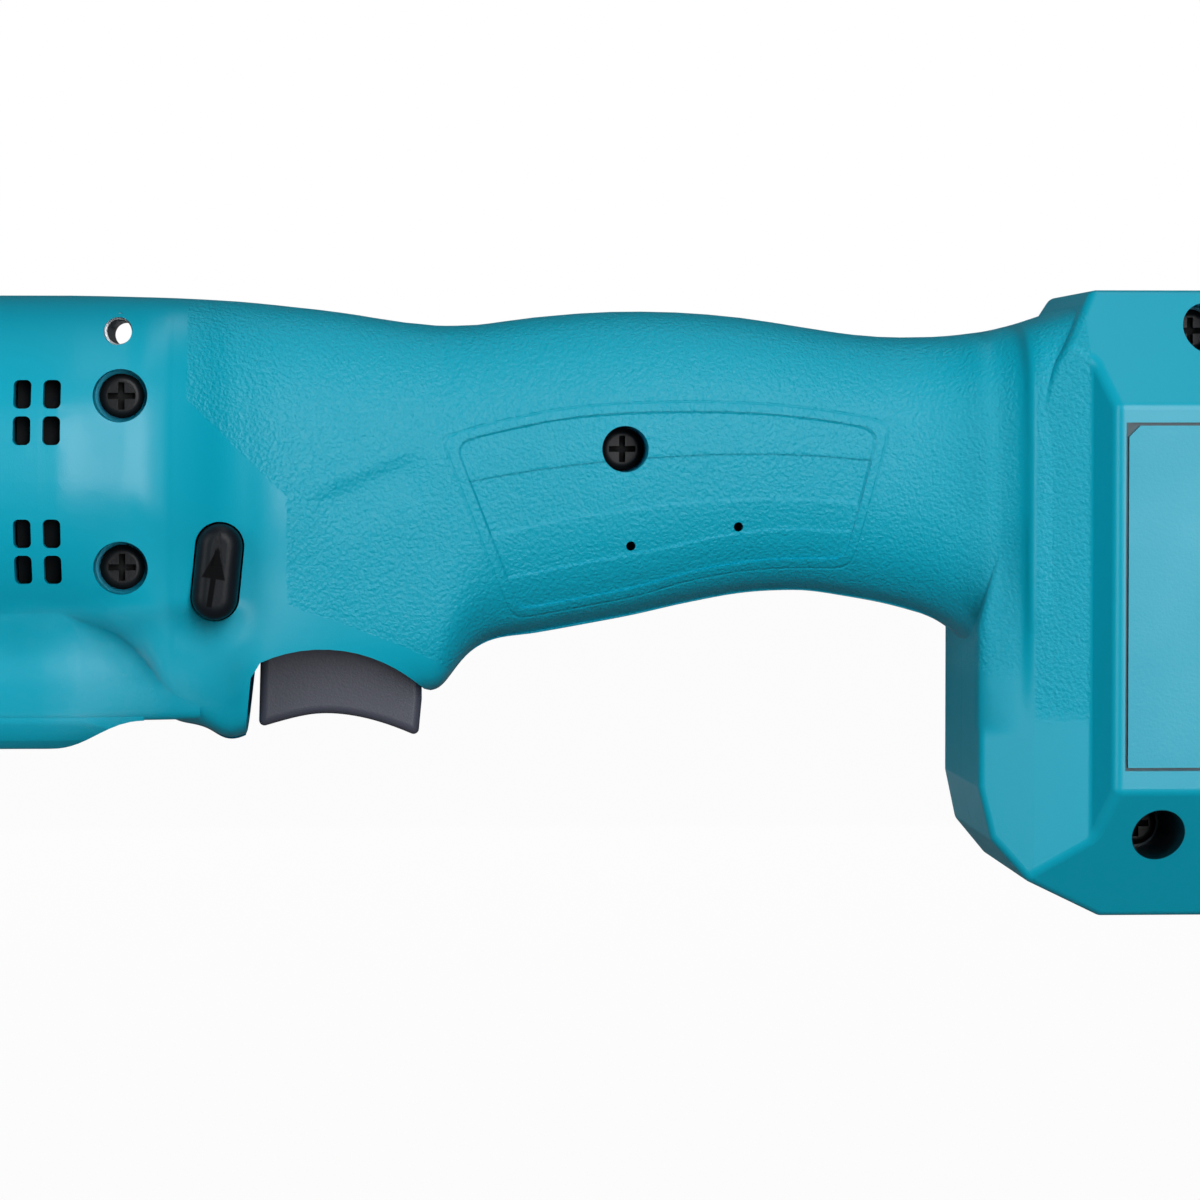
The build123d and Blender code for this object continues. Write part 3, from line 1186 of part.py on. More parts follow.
with BuildPart() as bevel_pinion:
    for share in (BEVEL_TOE, 1.0):
        with BuildSketch(section_plane(PINION_HEEL * share)):
            with BuildLine():
                Polyline(*bevel_points(PINION_TEETH, WHEEL_TEETH, -math.pi / 2, share), close=True)
            make_face()
    loft(ruled=True)
    rod_x((PINION_HEEL - 0.5, PINION_BEARINGS[0][0] - 0.1), 6.6)
    rod_x((PINION_HEEL, PINION_BEARINGS[1][1] + 0.6), PINION_SHAFT_RADIUS)
    rod_x((PINION_HEEL, PINION_TAIL_REAR), PINION_TAIL_RADIUS)

with BuildPart() as bevel_wheel:
    for share in (BEVEL_TOE, 1.0):
        with BuildSketch(Plane.XY.offset(AXIS_Z - WHEEL_HEEL * share)):
            with BuildLine():
                Polyline(*bevel_points(WHEEL_TEETH, PINION_TEETH, math.pi / WHEEL_TEETH, share), close=True)
            make_face()
    loft(ruled=True)
    rod_z(0, 0, (-WHEEL_HEEL - 1, 0), HEAD_BORE - 0.5, mode=Mode.INTERSECT)
    rod_z(0, 0, (OUTPUT_BEARING[1] + 0.3 - AXIS_Z, 0.2 - WHEEL_HEEL), 10.6)
    rod_z(0, 0, (-20, 10), OUTPUT_WHEEL_RADIUS + FIT, mode=Mode.SUBTRACT)

with BuildPart() as output_spindle:
    low = OUTPUT_BEARING[0] - 0.1
    high = OUTPUT_BEARING[1] + 0.2
    revolve(upright((0, DRIVE_LENGTH), (OUTPUT_COLLAR_RADIUS, DRIVE_LENGTH), (OUTPUT_COLLAR_RADIUS, low),
                    (OUTPUT_JOURNAL_RADIUS, low), (OUTPUT_JOURNAL_RADIUS, high), (OUTPUT_WHEEL_RADIUS, high),
                    (OUTPUT_WHEEL_RADIUS, 35.4), (OUTPUT_TOP_RADIUS, 35.4), (OUTPUT_TOP_RADIUS, OUTPUT_TOP),
                    (0, OUTPUT_TOP)), axis=OUTPUT_AXIS)
    with BuildSketch(Plane.XY):
        Rectangle(DRIVE_SIZE, DRIVE_SIZE)
    extrude(amount=DRIVE_LENGTH + 1)
    chamfer(output_spindle.faces().sort_by(Axis.Z)[0].edges(), 0.8)
    rod_x((-6, DETENT_FLOOR), DETENT_RADIUS + RUN, z=DETENT_Z - AXIS_Z, mode=Mode.SUBTRACT)

with BuildPart() as detent_pin:
    reach = (-DRIVE_SIZE / 2 - DETENT_REACH, DETENT_FLOOR - DETENT_TRAVEL - 0.3)
    rod_x(reach, DETENT_RADIUS, z=DETENT_Z - AXIS_Z)
    fillet(detent_pin.faces().sort_by(Axis.X)[0].edges(), 0.6)

with BuildPart() as head_bearings:
    for front, rear in PINION_BEARINGS:
        revolve(bearing(front, rear, PINION_BEARING_RADIUS, PINION_SHAFT_RADIUS + FIT), axis=MOTOR_AXIS)
    outer = HEAD_BORE - FIT
    inner = OUTPUT_JOURNAL_RADIUS + FIT
    bottom, top = OUTPUT_BEARING
    revolve(upright((inner, bottom), (9.0, bottom), (9.0, bottom + 0.5), (12.0, bottom + 0.5), (12.0, bottom),
                    (outer, bottom), (outer, top), (12.0, top), (12.0, top - 0.5), (9.0, top - 0.5),
                    (9.0, top), (inner, top)), axis=OUTPUT_AXIS)

with BuildPart() as bearing_retainer:
    top = OUTPUT_BEARING[0] - 0.1
    inner = OUTPUT_COLLAR_RADIUS + 0.3
    outer = HEAD_BORE - FIT
    revolve(upright((inner, HEAD_BOTTOM), (outer, HEAD_BOTTOM), (outer, top), (inner, top)), axis=OUTPUT_AXIS)
    with BuildSketch(Plane.XY.offset(HEAD_BOTTOM - 1)):
        with PolarLocations(11.2, 4, start_angle=45):
            Circle(1.3)
    extrude(amount=3.5, mode=Mode.SUBTRACT)

with BuildPart() as top_bush:
    bore = OUTPUT_TOP_RADIUS + RUN
    bottom, top = TOP_BUSH
    revolve(upright((bore, bottom), (TOP_BUSH_RADIUS, bottom), (TOP_BUSH_RADIUS, top), (bore, top)),
            axis=OUTPUT_AXIS)

# Controller, terminals and battery
with BuildPart() as controller:
    block((CONTROLLER_RIBS[0] + CONTROLLER_RIB + FIT, CONTROLLER_RIBS[1] - FIT), (-24, 24), (-38, 8))
    with BuildSketch(Plane.XY.offset(AXIS_Z + 6)):
        with GridLocations(0, 9, 1, 5):
            with Locations((358, 0)):
                Rectangle(15, 2.4)
    extrude(amount=4, mode=Mode.SUBTRACT)

with BuildPart() as terminal_block:
    block((376, BOX_REAR), (FIT - TERMINAL_HALF_WIDTH, TERMINAL_HALF_WIDTH - FIT),
          (TERMINAL_BOTTOM + FIT, TERMINAL_TOP - FIT))
    for y in (-BLADE_Y, BLADE_Y):
        block((BOX_REAR - 6, 391.5), (y - BLADE_THICKNESS / 2 - FIT, y + BLADE_THICKNESS / 2 + FIT),
              (BLADE_BOTTOM - FIT, BLADE_TOP + FIT), mode=Mode.SUBTRACT)

with BuildPart() as terminal_blades:
    for y in (-BLADE_Y, BLADE_Y):
        block((BOX_REAR - 6, 391.5), (y - BLADE_THICKNESS / 2, y + BLADE_THICKNESS / 2),
              (BLADE_BOTTOM, BLADE_TOP))


def battery_face(x, inset):
    """Rounded outline of the battery across the tool at x."""
    with BuildSketch(section_plane(x)) as face:
        with Locations((0, (BATTERY_TOP + BATTERY_BOTTOM) / 2)):
            RectangleRounded(2 * (BATTERY_HALF_WIDTH - inset), BATTERY_TOP - BATTERY_BOTTOM - 2 * inset,
                             BATTERY_CORNER - inset)
    return face.sketch


with BuildPart() as battery_case_front:
    extrude(battery_face(BATTERY_FRONT, 0), amount=BATTERY_SPLIT - SEAM / 2 - BATTERY_FRONT)
    extrude(battery_face(BATTERY_FRONT + BATTERY_WALL, BATTERY_WALL), amount=20, mode=Mode.SUBTRACT)
    block((BATTERY_FRONT, LATCH_FLOOR + 2.5), (-LATCH_HALF_WIDTH - 2.6, LATCH_HALF_WIDTH + 2.6),
          (BATTERY_BOTTOM + 1, LATCH_TOP + 3))
    flange = (BATTERY_BOTTOM + 4, BATTERY_TOP - 2)
    block((BATTERY_FLANGE_FRONT, RAIL_LIP_FRONT - 0.4), (SLIP - RAIL_INNER, RAIL_INNER - SLIP), flange)
    block((RAIL_LIP_FRONT - 1, BATTERY_FRONT + 1), (0.4 - RAIL_LIP_INNER, RAIL_LIP_INNER - 0.4), flange)
    for y in (-22, 22):
        for z in (-56, 16):
            rod_x((BATTERY_FRONT + 1, BOARD_FRONT), 2.2, y=y, z=z)
    for y in (-BLADE_Y, BLADE_Y):
        block((380, BATTERY_FRONT + BATTERY_WALL + 1), (y - 2.2, y + 2.2),
              (BLADE_BOTTOM - 3, BATTERY_TOP + 1), mode=Mode.SUBTRACT)
    block((380, LATCH_FLOOR), (-LATCH_HALF_WIDTH - SLIP, LATCH_HALF_WIDTH + SLIP),
          (BATTERY_BOTTOM - 1, LATCH_TOP + SLIP), mode=Mode.SUBTRACT)

with BuildPart() as battery_case_rear:
    extrude(battery_face(BATTERY_SPLIT + SEAM / 2, 0), amount=BATTERY_REAR - BATTERY_SPLIT - SEAM / 2)
    fillet(battery_case_rear.faces().sort_by(Axis.X)[-1].edges(), 3.0)
    depth = BATTERY_REAR - BATTERY_WALL - BATTERY_SPLIT + 1
    extrude(battery_face(BATTERY_SPLIT - 1, BATTERY_WALL), amount=depth, mode=Mode.SUBTRACT)


def cell_heights():
    """Heights of the cells from the axis."""
    middle = (BATTERY_TOP + BATTERY_BOTTOM) / 2
    return [middle + (number - (CELLS - 1) / 2) * CELL_PITCH for number in range(CELLS)]


with BuildPart() as battery_cells:
    for height in cell_heights():
        rod_y(CELL_X, height, (-CELL_LENGTH / 2, CELL_LENGTH / 2), CELL_RADIUS)

with BuildPart() as cell_holder:
    half = BATTERY_HALF_WIDTH - BATTERY_WALL - SLIP
    heights = cell_heights()
    block((CELL_X, BATTERY_REAR - BATTERY_WALL - FIT), (-half + 6, half - 6),
          (heights[0] - 5, heights[-1] + 5))
    for height in heights:
        rod_y(CELL_X, height, (-half, half), CELL_RADIUS + FIT, mode=Mode.SUBTRACT)

with BuildPart() as battery_board:
    block((BOARD_FRONT + FIT, BOARD_FRONT + 1.6), (-27, 27), (-60, 20))

with BuildPart() as battery_clips:
    for y in (-BLADE_Y, BLADE_Y):
        for side in (-1, 1):
            near = y + side * (BLADE_THICKNESS / 2 + 0.12)
            far = near + side * 0.6
            block((387.5, BOARD_FRONT), (min(near, far), max(near, far)), (BLADE_BOTTOM + 1, BLADE_TOP - 4))

with BuildPart() as latch_button:
    block((LATCH_FACE, LATCH_REAR), (-LATCH_HALF_WIDTH, LATCH_HALF_WIDTH), (LATCH_BOTTOM, LATCH_TOP))
    block((LATCH_FACE - 3.4, LATCH_FACE + 1), (-8, 8), (LATCH_TOP - 2.6, LATCH_TOP))
    with BuildSketch(Plane.XY.offset(AXIS_Z + LATCH_BOTTOM - 1)):
        with GridLocations(2.2, 0, 4, 1):
            with Locations(((LATCH_FACE + LATCH_REAR) / 2, 0)):
                Rectangle(0.9, 2 * LATCH_HALF_WIDTH - 4)
    extrude(amount=1.5, mode=Mode.SUBTRACT)

with BuildPart() as latch_spring:
    rise = LATCH_FLOOR - LATCH_REAR - 1.0
    front = (LATCH_REAR + 0.5, 0, AXIS_Z + LATCH_TOP - 5)
    with BuildLine() as coil:
        Helix(rise / 3, rise, 2.4, center=front, direction=(1, 0, 0))
    with BuildSketch(Plane(origin=coil.line @ 0, z_dir=coil.line % 0)):
        Circle(0.35)
    sweep(path=coil.line)

PIECES = {
    "housing_left": housing_left,
    "housing_right": housing_right,
    "housing_screws": housing_screws,
    "dust_screen": dust_screen,
    "hanger_sleeve": hanger_sleeve,
    "name_plates": name_plates,
    "lamp_lens": lamp_lens,
    "lamp_board": lamp_board,
    "trigger": trigger,
    "switch_plunger": switch_plunger,
    "trigger_spring": trigger_spring,
    "switch_body": switch_body,
    "reverse_lever": reverse_lever,
    "stator_core": stator_core,
    "stator_coils": stator_coils,
    "rotor_core": rotor_core,
    "rotor_magnets": rotor_magnets,
    "rotor_shaft": rotor_shaft,
    "fan": fan,
    "sensor_board": sensor_board,
    "motor_bearings": motor_bearings,
    "bearing_bracket": bearing_bracket,
    "ring_gear": ring_gear,
    "carrier_first": carrier_first,
    "carrier_second": carrier_second,
    "clutch_balls": clutch_balls,
    "clutch_cam": clutch_cam,
    "clutch_disc": clutch_disc,
    "clutch_spring": clutch_spring,
    "adjusting_nut": adjusting_nut,
    "drive_spindle": drive_spindle,
    "spindle_bearing": spindle_bearing,
    "gear_case": gear_case,
    "window_cover": window_cover,
    "union_nut": union_nut,
    "head_housing": head_housing,
    "bevel_pinion": bevel_pinion,
    "head_bearings": head_bearings,
    "bevel_wheel": bevel_wheel,
    "output_spindle": output_spindle,
    "detent_pin": detent_pin,
    "bearing_retainer": bearing_retainer,
    "top_bush": top_bush,
    "controller": controller,
    "terminal_block": terminal_block,
    "terminal_blades": terminal_blades,
    "battery_case_front": battery_case_front,
    "battery_case_rear": battery_case_rear,
    "battery_cells": battery_cells,
    "cell_holder": cell_holder,
    "battery_board": battery_board,
    "battery_clips": battery_clips,
    "latch_button": latch_button,
    "latch_spring": latch_spring,
}
for number in range(PLANETS):
    PIECES["planet_first_%d" % (number + 1)] = planet(0, number)
    PIECES["planet_second_%d" % (number + 1)] = planet(1, number)

os.makedirs("parts", exist_ok=True)
for name, piece in PIECES.items():
    piece.part.label = name
    export_step(piece.part, "parts/%s.step" % name)
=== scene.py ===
import json
import logging
import math
from collections.abc import Callable, Iterator
from contextlib import contextmanager
from dataclasses import dataclass
from enum import Enum
from functools import cache, cached_property, partial, reduce

import bpy
from bpy.types import Material, Node, NodeSocket as Socket, NodeTree, Object
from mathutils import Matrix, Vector


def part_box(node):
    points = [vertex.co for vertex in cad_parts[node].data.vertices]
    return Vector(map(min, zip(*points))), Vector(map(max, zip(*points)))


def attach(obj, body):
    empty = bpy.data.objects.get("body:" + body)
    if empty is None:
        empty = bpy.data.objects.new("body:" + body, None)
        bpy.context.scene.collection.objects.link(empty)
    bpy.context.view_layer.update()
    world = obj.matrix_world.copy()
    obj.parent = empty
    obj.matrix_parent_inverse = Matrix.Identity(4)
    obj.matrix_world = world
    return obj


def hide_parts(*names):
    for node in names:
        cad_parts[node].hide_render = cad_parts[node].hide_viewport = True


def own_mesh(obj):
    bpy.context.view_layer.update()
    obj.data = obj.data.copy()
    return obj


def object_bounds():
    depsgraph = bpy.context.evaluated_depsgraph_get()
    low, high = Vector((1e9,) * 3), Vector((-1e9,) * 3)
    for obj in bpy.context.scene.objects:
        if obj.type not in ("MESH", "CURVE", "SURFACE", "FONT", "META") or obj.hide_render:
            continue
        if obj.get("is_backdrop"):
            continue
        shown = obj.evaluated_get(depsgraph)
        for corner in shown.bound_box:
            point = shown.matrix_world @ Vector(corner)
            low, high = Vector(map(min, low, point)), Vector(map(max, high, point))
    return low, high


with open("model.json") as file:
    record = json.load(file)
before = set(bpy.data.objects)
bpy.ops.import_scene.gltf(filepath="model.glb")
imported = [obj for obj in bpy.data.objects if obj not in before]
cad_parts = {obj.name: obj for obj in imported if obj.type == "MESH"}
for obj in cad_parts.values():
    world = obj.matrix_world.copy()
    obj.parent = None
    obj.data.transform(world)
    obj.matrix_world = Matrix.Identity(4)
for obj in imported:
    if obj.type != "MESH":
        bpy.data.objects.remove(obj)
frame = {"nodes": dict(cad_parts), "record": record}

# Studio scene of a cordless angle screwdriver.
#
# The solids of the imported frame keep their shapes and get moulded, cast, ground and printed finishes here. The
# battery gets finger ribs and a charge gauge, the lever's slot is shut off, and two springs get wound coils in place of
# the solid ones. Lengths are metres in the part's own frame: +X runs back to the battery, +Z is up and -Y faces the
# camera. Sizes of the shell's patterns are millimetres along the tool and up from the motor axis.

LOG = logging.getLogger("angle_screwdriver")
MM = 0.001
AXIS_Z = 40 * MM
SMOOTH_ANGLE = math.radians(40)
SOFT_FACES = 2
# Edges of a block that are longer than this along an axis run along it
LEVEL = 1 * MM
# A Wave node's phase runs through this many radians in a unit of length
WAVE_RATE = 20
Colour = tuple[float, float, float]
Point = tuple[float, float, float]
Spot = tuple[float, float]
Line = tuple[Spot, ...]
Limits = tuple[float, float, float, float]
Test = Callable[[Vector, Vector], bool]


class Pick(Enum):
    """What is picked in edit mode."""

    FACE = "FACE"
    EDGE = "EDGE"


class Side(Enum):
    """The two sides of the tool, by the sign of Y."""

    LEFT = -1
    RIGHT = 1


class Streak(Enum):
    """Ways that machining marks run over a metal, as noise scales along X, Y and Z."""

    ALONG = (0.08, 1.0, 1.0)
    AROUND = (1.0, 0.06, 0.06)
    UPRIGHT = (1.0, 1.0, 0.06)
    NONE = (1.0, 1.0, 1.0)


class Mixed(Enum):
    """What a Mix node mixes, with the numbers of its sockets: share, first, second and result."""

    VECTOR = (0, 4, 5, 1)
    RGBA = (0, 6, 7, 2)


class NodeBench:
    """A node tree with short ways to add and join nodes."""

    def __init__(self, tree: NodeTree) -> None:
        """Takes the tree that the nodes go into."""
        self.tree = tree

    def add(self, kind: str, **settings: object) -> Node:
        """Adds a node and sets its properties.

        Args:
            kind: Blender's name of the node, without its prefix.
            settings: Properties of the node by name.

        Returns:
            The new node.
        """
        node = self.tree.nodes.new(f"ShaderNode{kind}")
        for name, value in settings.items():
            setattr(node, name, value)
        return node

    def join(self, value: object, socket: Socket) -> None:
        """Joins a socket to an input, or sets the input to a value.

        Args:
            value: A socket, number, vector or colour.
            socket: The input.
        """
        if isinstance(value, Socket):
            self.tree.links.new(value, socket)
        elif socket.type == "RGBA" and len(value) == 3:
            socket.default_value = (*value, 1.0)
        else:
            socket.default_value = value

    def feed(self, node: Node, **inputs: object) -> Node:
        """Joins or sets inputs of a node.

        Args:
            node: The node to feed.
            inputs: Input names with underscores for spaces, each with a socket or a value.

        Returns:
            The same node.
        """
        for name, value in inputs.items():
            self.join(value, node.inputs[name.replace("_", " ")])
        return node

    def operate(self, kind: str, operation: str, *values: object) -> Node:
        """Adds a node that reckons with numbers or vectors.

        Args:
            kind: Blender's name of the node, without its prefix.
            operation: Blender's name of the operation.
            values: Sockets or values, in order.

        Returns:
            The new node.
        """
        node = self.add(kind, operation=operation)
        for value, socket in zip(values, node.inputs):
            self.join(value, socket)
        return node

    def calc(self, operation: str, *values: object) -> Socket:
        """Adds a Math node and gives the socket of its result."""
        return self.operate("Math", operation, *values).outputs[0]

    def total(self, *values: object) -> Socket:
        """Adds up sockets or numbers."""
        return reduce(partial(self.calc, "ADD"), values)

    def times(self, *values: object) -> Socket:
        """Multiplies sockets or numbers."""
        return reduce(partial(self.calc, "MULTIPLY"), values)

    def ease(self, value: Socket, low: float, high: float) -> Socket:
        """Adds a smooth step from 0 at low to 1 at high; it steps down if low is above high."""
        node = self.add("MapRange", interpolation_type="SMOOTHSTEP")
        return self.feed(node, Value=value, From_Min=low, From_Max=high).outputs[0]

    def between(self, value: Socket, limits: Limits) -> Socket:
        """Adds a step up between the first two limits and a step down between the last two."""
        start, full, fading, end = limits
        return self.times(self.ease(value, start, full), self.ease(value, end, fading))

    def follow(self, value: Socket, line: Line, smooth: bool) -> Socket:
        """Reads a line drawn through points.

        Args:
            value: The socket that runs along the line.
            line: Points of the line as (value, result), with rising values.
            smooth: Whether the line bends softly at its points.

        Returns:
            The result's socket.
        """
        low, high = line[0][0], line[-1][0]
        floor = min(result for _, result in line)
        rise = max(result for _, result in line) - floor
        share = self.add("MapRange")
        self.feed(share, Value=value, From_Min=low, From_Max=high)
        curve = self.add("FloatCurve")
        drawn = curve.mapping.curves[0]
        places = [((spot - low) / (high - low), (result - floor) / rise) for spot, result in line]
        drawn.points[0].location = places[0]
        drawn.points[1].location = places[-1]
        for place in places[1:-1]:
            drawn.points.new(*place)
        for point in drawn.points:
            point.handle_type = "AUTO" if smooth else "VECTOR"
        curve.mapping.update()
        self.feed(curve, Value=share.outputs[0])
        return self.calc("MULTIPLY_ADD", curve.outputs[0], rise, floor)

    def blend(self, share: object, first: object, second: object, kind: Mixed = Mixed.RGBA) -> Socket:
        """Mixes two colours or vectors.

        Args:
            share: Socket or number, 0 for the first and 1 for the second.
            first: Value or socket.
            second: Value or socket.
            kind: What they are.

        Returns:
            The mixture's socket.
        """
        node = self.add("Mix", data_type=kind.name)
        *inputs, result = kind.value
        for number, value in zip(inputs, (share, first, second)):
            self.join(value, node.inputs[number])
        return node.outputs[result]

    def noise(self, place: object, scale: object, detail: float, roughness: float = 0.55) -> Socket:
        """Adds cloudy noise about 0.5, with its scale in lumps per metre."""
        node = self.add("TexNoise")
        return self.feed(node, Vector=place, Scale=scale, Detail=detail, Roughness=roughness).outputs["Fac"]

    def bump(self, height: Socket, distance: float, strength: float, **under: Socket) -> Socket:
        """Adds relief, where a height of 1 is so many metres, to the skin or to a Normal that is under it."""
        node = self.feed(self.add("Bump"), Height=height, Distance=distance, Strength=strength, **under)
        return node.outputs[0]

    def skin(self) -> Socket:
        """Reads the normal of the plain surface."""
        return self.add("NewGeometry").outputs["Normal"]

    def rounded(self, radius: object, samples: int) -> Socket:
        """Reads the normal that the surface would have with its edges rounded."""
        return self.feed(self.add("Bevel", samples=samples), Radius=radius).outputs[0]


@dataclass(frozen=True)
class Effects:
    """Shader groups that several finishes share, each made once."""

    warp_detail: float = 2.0
    cell_softness: float = 0.7
    cell_share: float = 0.6
    fine_scale: float = 1.6
    fine_detail: float = 3.0
    fine_share: float = 0.7
    worn_samples: int = 4
    worn_turn: Spot = (0.01, 0.16)
    patch_scale: float = 420.0
    patch_detail: float = 4.0
    patch_roughness: float = 0.6
    patch_edges: Spot = (0.35, 0.62)
    tone_detail: float = 5.0

    def start(self, name: str, inputs: dict[str, float], result: str) -> tuple[NodeBench, Node, Socket]:
        """Starts a group that reads coordinates and gives one value.

        Args:
            name: The group's name.
            inputs: Names of the number inputs with their usual values.
            result: Name of the output.

        Returns:
            A bench on the group, its input node and the socket that takes the result.
        """
        tree = bpy.data.node_groups.new(name, "ShaderNodeTree")
        tree.interface.new_socket("Vector", in_out="INPUT", socket_type="NodeSocketVector")
        for key, value in inputs.items():
            tree.interface.new_socket(key, in_out="INPUT", socket_type="NodeSocketFloat").default_value = value
        tree.interface.new_socket(result, in_out="OUTPUT", socket_type="NodeSocketFloat")
        bench = NodeBench(tree)
        return bench, tree.nodes.new("NodeGroupInput"), tree.nodes.new("NodeGroupOutput").inputs[result]

    @cache
    def grain(self) -> NodeTree:
        """Makes leathery moulded grain: a height of soft warped cells.

        Returns:
            The group, with Vector, Pitch and Warp in and Height out.
        """
        bench, source, result = self.start("moulded_grain", {"Pitch": 0.9 * MM, "Warp": 0.5}, "Height")
        place, pitch = source.outputs["Vector"], source.outputs["Pitch"]
        scale = bench.calc("DIVIDE", 1.0, pitch)
        warp = bench.feed(bench.add("TexNoise"), Vector=place, Scale=scale, Detail=self.warp_detail)
        push = bench.operate("VectorMath", "SCALE", warp.outputs["Color"])
        bench.feed(push, Scale=bench.times(source.outputs["Warp"], pitch))
        moved = bench.operate("VectorMath", "ADD", place, push.outputs[0]).outputs[0]
        cells = bench.add("TexVoronoi", feature="SMOOTH_F1")
        bench.feed(cells, Vector=moved, Scale=scale, Smoothness=self.cell_softness)
        fine = bench.noise(moved, bench.times(scale, self.fine_scale), self.fine_detail)
        lumps = bench.calc("SUBTRACT", 1.0, cells.outputs["Distance"])
        bench.join(bench.total(bench.times(lumps, self.cell_share), bench.times(fine, self.fine_share)), result)
        return bench.tree

    @cache
    def wear(self) -> NodeTree:
        """Makes rubbed edges: a mask that is 1 where the surface turns sharply, broken up by noise.

        Returns:
            The group, with Vector, Reach and Amount in and Mask out.
        """
        bench, source, result = self.start("edge_wear", {"Reach": 0.6 * MM, "Amount": 0.5}, "Mask")
        rounded = bench.rounded(source.outputs["Reach"], self.worn_samples)
        turn = bench.operate("VectorMath", "DOT_PRODUCT", rounded, bench.skin())
        edge = bench.ease(bench.calc("SUBTRACT", 1.0, turn.outputs["Value"]), *self.worn_turn)
        cloud = bench.noise(source.outputs["Vector"], self.patch_scale, self.patch_detail, self.patch_roughness)
        bench.join(bench.times(edge, bench.ease(cloud, *self.patch_edges), source.outputs["Amount"]), result)
        return bench.tree

    @cache
    def handling(self) -> NodeTree:
        """Makes slow changes over a handled surface: a value about 0 for tone and gloss.

        Returns:
            The group, with Vector and Pitch in and Tone out.
        """
        bench, source, result = self.start("handling", {"Pitch": 20 * MM}, "Tone")
        scale = bench.calc("DIVIDE", 1.0, source.outputs["Pitch"])
        broad = bench.noise(source.outputs["Vector"], scale, self.tone_detail)
        bench.join(bench.calc("SUBTRACT", broad, 0.5), result)
        return bench.tree


EFFECTS = Effects()


class Surface(NodeBench):
    """A new material with one surface shader that reads object coordinates.

    Its patterns are drawn in millimetres as seen from the side of the tool.
    """

    def __init__(self, name: str) -> None:
        """Starts the material under its name."""
        self.material = bpy.data.materials.new(name)
        self.material.use_nodes = True
        super().__init__(self.material.node_tree)
        self.tree.nodes.clear()
        self.shader = self.add("BsdfPrincipled")
        self.feed(self.add("OutputMaterial"), Surface=self.shader.outputs[0])
        self.place = self.add("TexCoord").outputs["Object"]

    def effect(self, tree: NodeTree, **inputs: float) -> Socket:
        """Places a shared group in the material and gives the socket of its result."""
        return self.feed(self.add("Group", node_tree=tree), Vector=self.place, **inputs).outputs[0]

    def finish(self, **values: object) -> Material:
        """Joins or sets inputs of the shader and gives the material."""
        self.feed(self.shader, **values)
        return self.material

    @cached_property
    def parts(self) -> dict[str, Socket]:
        """Takes the coordinates apart."""
        return dict(self.feed(self.add("SeparateXYZ"), Vector=self.place).outputs.items())

    @cached_property
    def x(self) -> Socket:
        """Reads the distance along the tool."""
        return self.times(self.parts["X"], 1 / MM)

    @cached_property
    def z(self) -> Socket:
        """Reads the height from the motor axis."""
        return self.calc("MULTIPLY_ADD", self.parts["Z"], 1 / MM, -AXIS_Z / MM)

    def patch(self, along: Limits, up: Limits) -> Socket:
        """Works out a mask of a rectangle with soft edges."""
        return self.times(self.between(self.x, along), self.between(self.z, up))

    def off_middle(self) -> Socket:
        """Reads the distance from the tool's middle plane."""
        return self.calc("ABSOLUTE", self.times(self.parts["Y"], 1 / MM))

    def across(self, start: Spot, end: Spot) -> Socket:
        """Works out how far the point is to the left of a straight line.

        Args:
            start: Where the line starts.
            end: Where it ends.

        Returns:
            The distance's socket.
        """
        run, rise = end[0] - start[0], end[1] - start[1]
        length = math.hypot(run, rise)
        offset = (start[0] * rise - start[1] * run) / length
        partly = self.calc("MULTIPLY_ADD", self.x, -rise / length, offset)
        return self.calc("MULTIPLY_ADD", self.z, run / length, partly)

    def away(self, middle: Spot) -> Socket:
        """Works out how far the point is from another."""
        sides = [self.calc("SUBTRACT", place, spot) for place, spot in zip((self.x, self.z), middle)]
        return self.calc("SQRT", self.total(*(self.times(side, side) for side in sides)))


@dataclass(frozen=True)
class ArrowMark:
    """A plain arrow sunk in the side of the tool; its mask marks where shade is painted."""

    foot: Spot
    tip: Spot
    head: float
    half_width: float
    half_shaft: float
    blur: float = 0.12
    shaft_fade: float = 1.0

    def mask(self, bench: Surface) -> Socket:
        """Works out where the arrow is.

        Args:
            bench: The surface.

        Returns:
            A mask, 1 on the arrow.
        """
        blur = self.blur
        run, rise = self.tip[0] - self.foot[0], self.tip[1] - self.foot[1]
        length = math.hypot(run, rise)
        neck = length - self.head
        along = bench.across(self.foot, (self.foot[0] + rise, self.foot[1] - run))
        off = bench.calc("ABSOLUTE", bench.across(self.foot, self.tip))
        slope = self.half_width / self.head
        spread = bench.calc("MULTIPLY_ADD", along, -slope, length * slope)
        head = bench.ease(bench.calc("SUBTRACT", spread, off), -blur, blur)
        head = bench.times(head, bench.ease(along, neck - blur, neck + blur))
        shaft = bench.ease(off, self.half_shaft + blur, self.half_shaft - blur)
        shaft = bench.times(shaft, bench.between(along, (-blur, blur, length - self.shaft_fade, length)))
        return bench.calc("MAXIMUM", head, shaft)


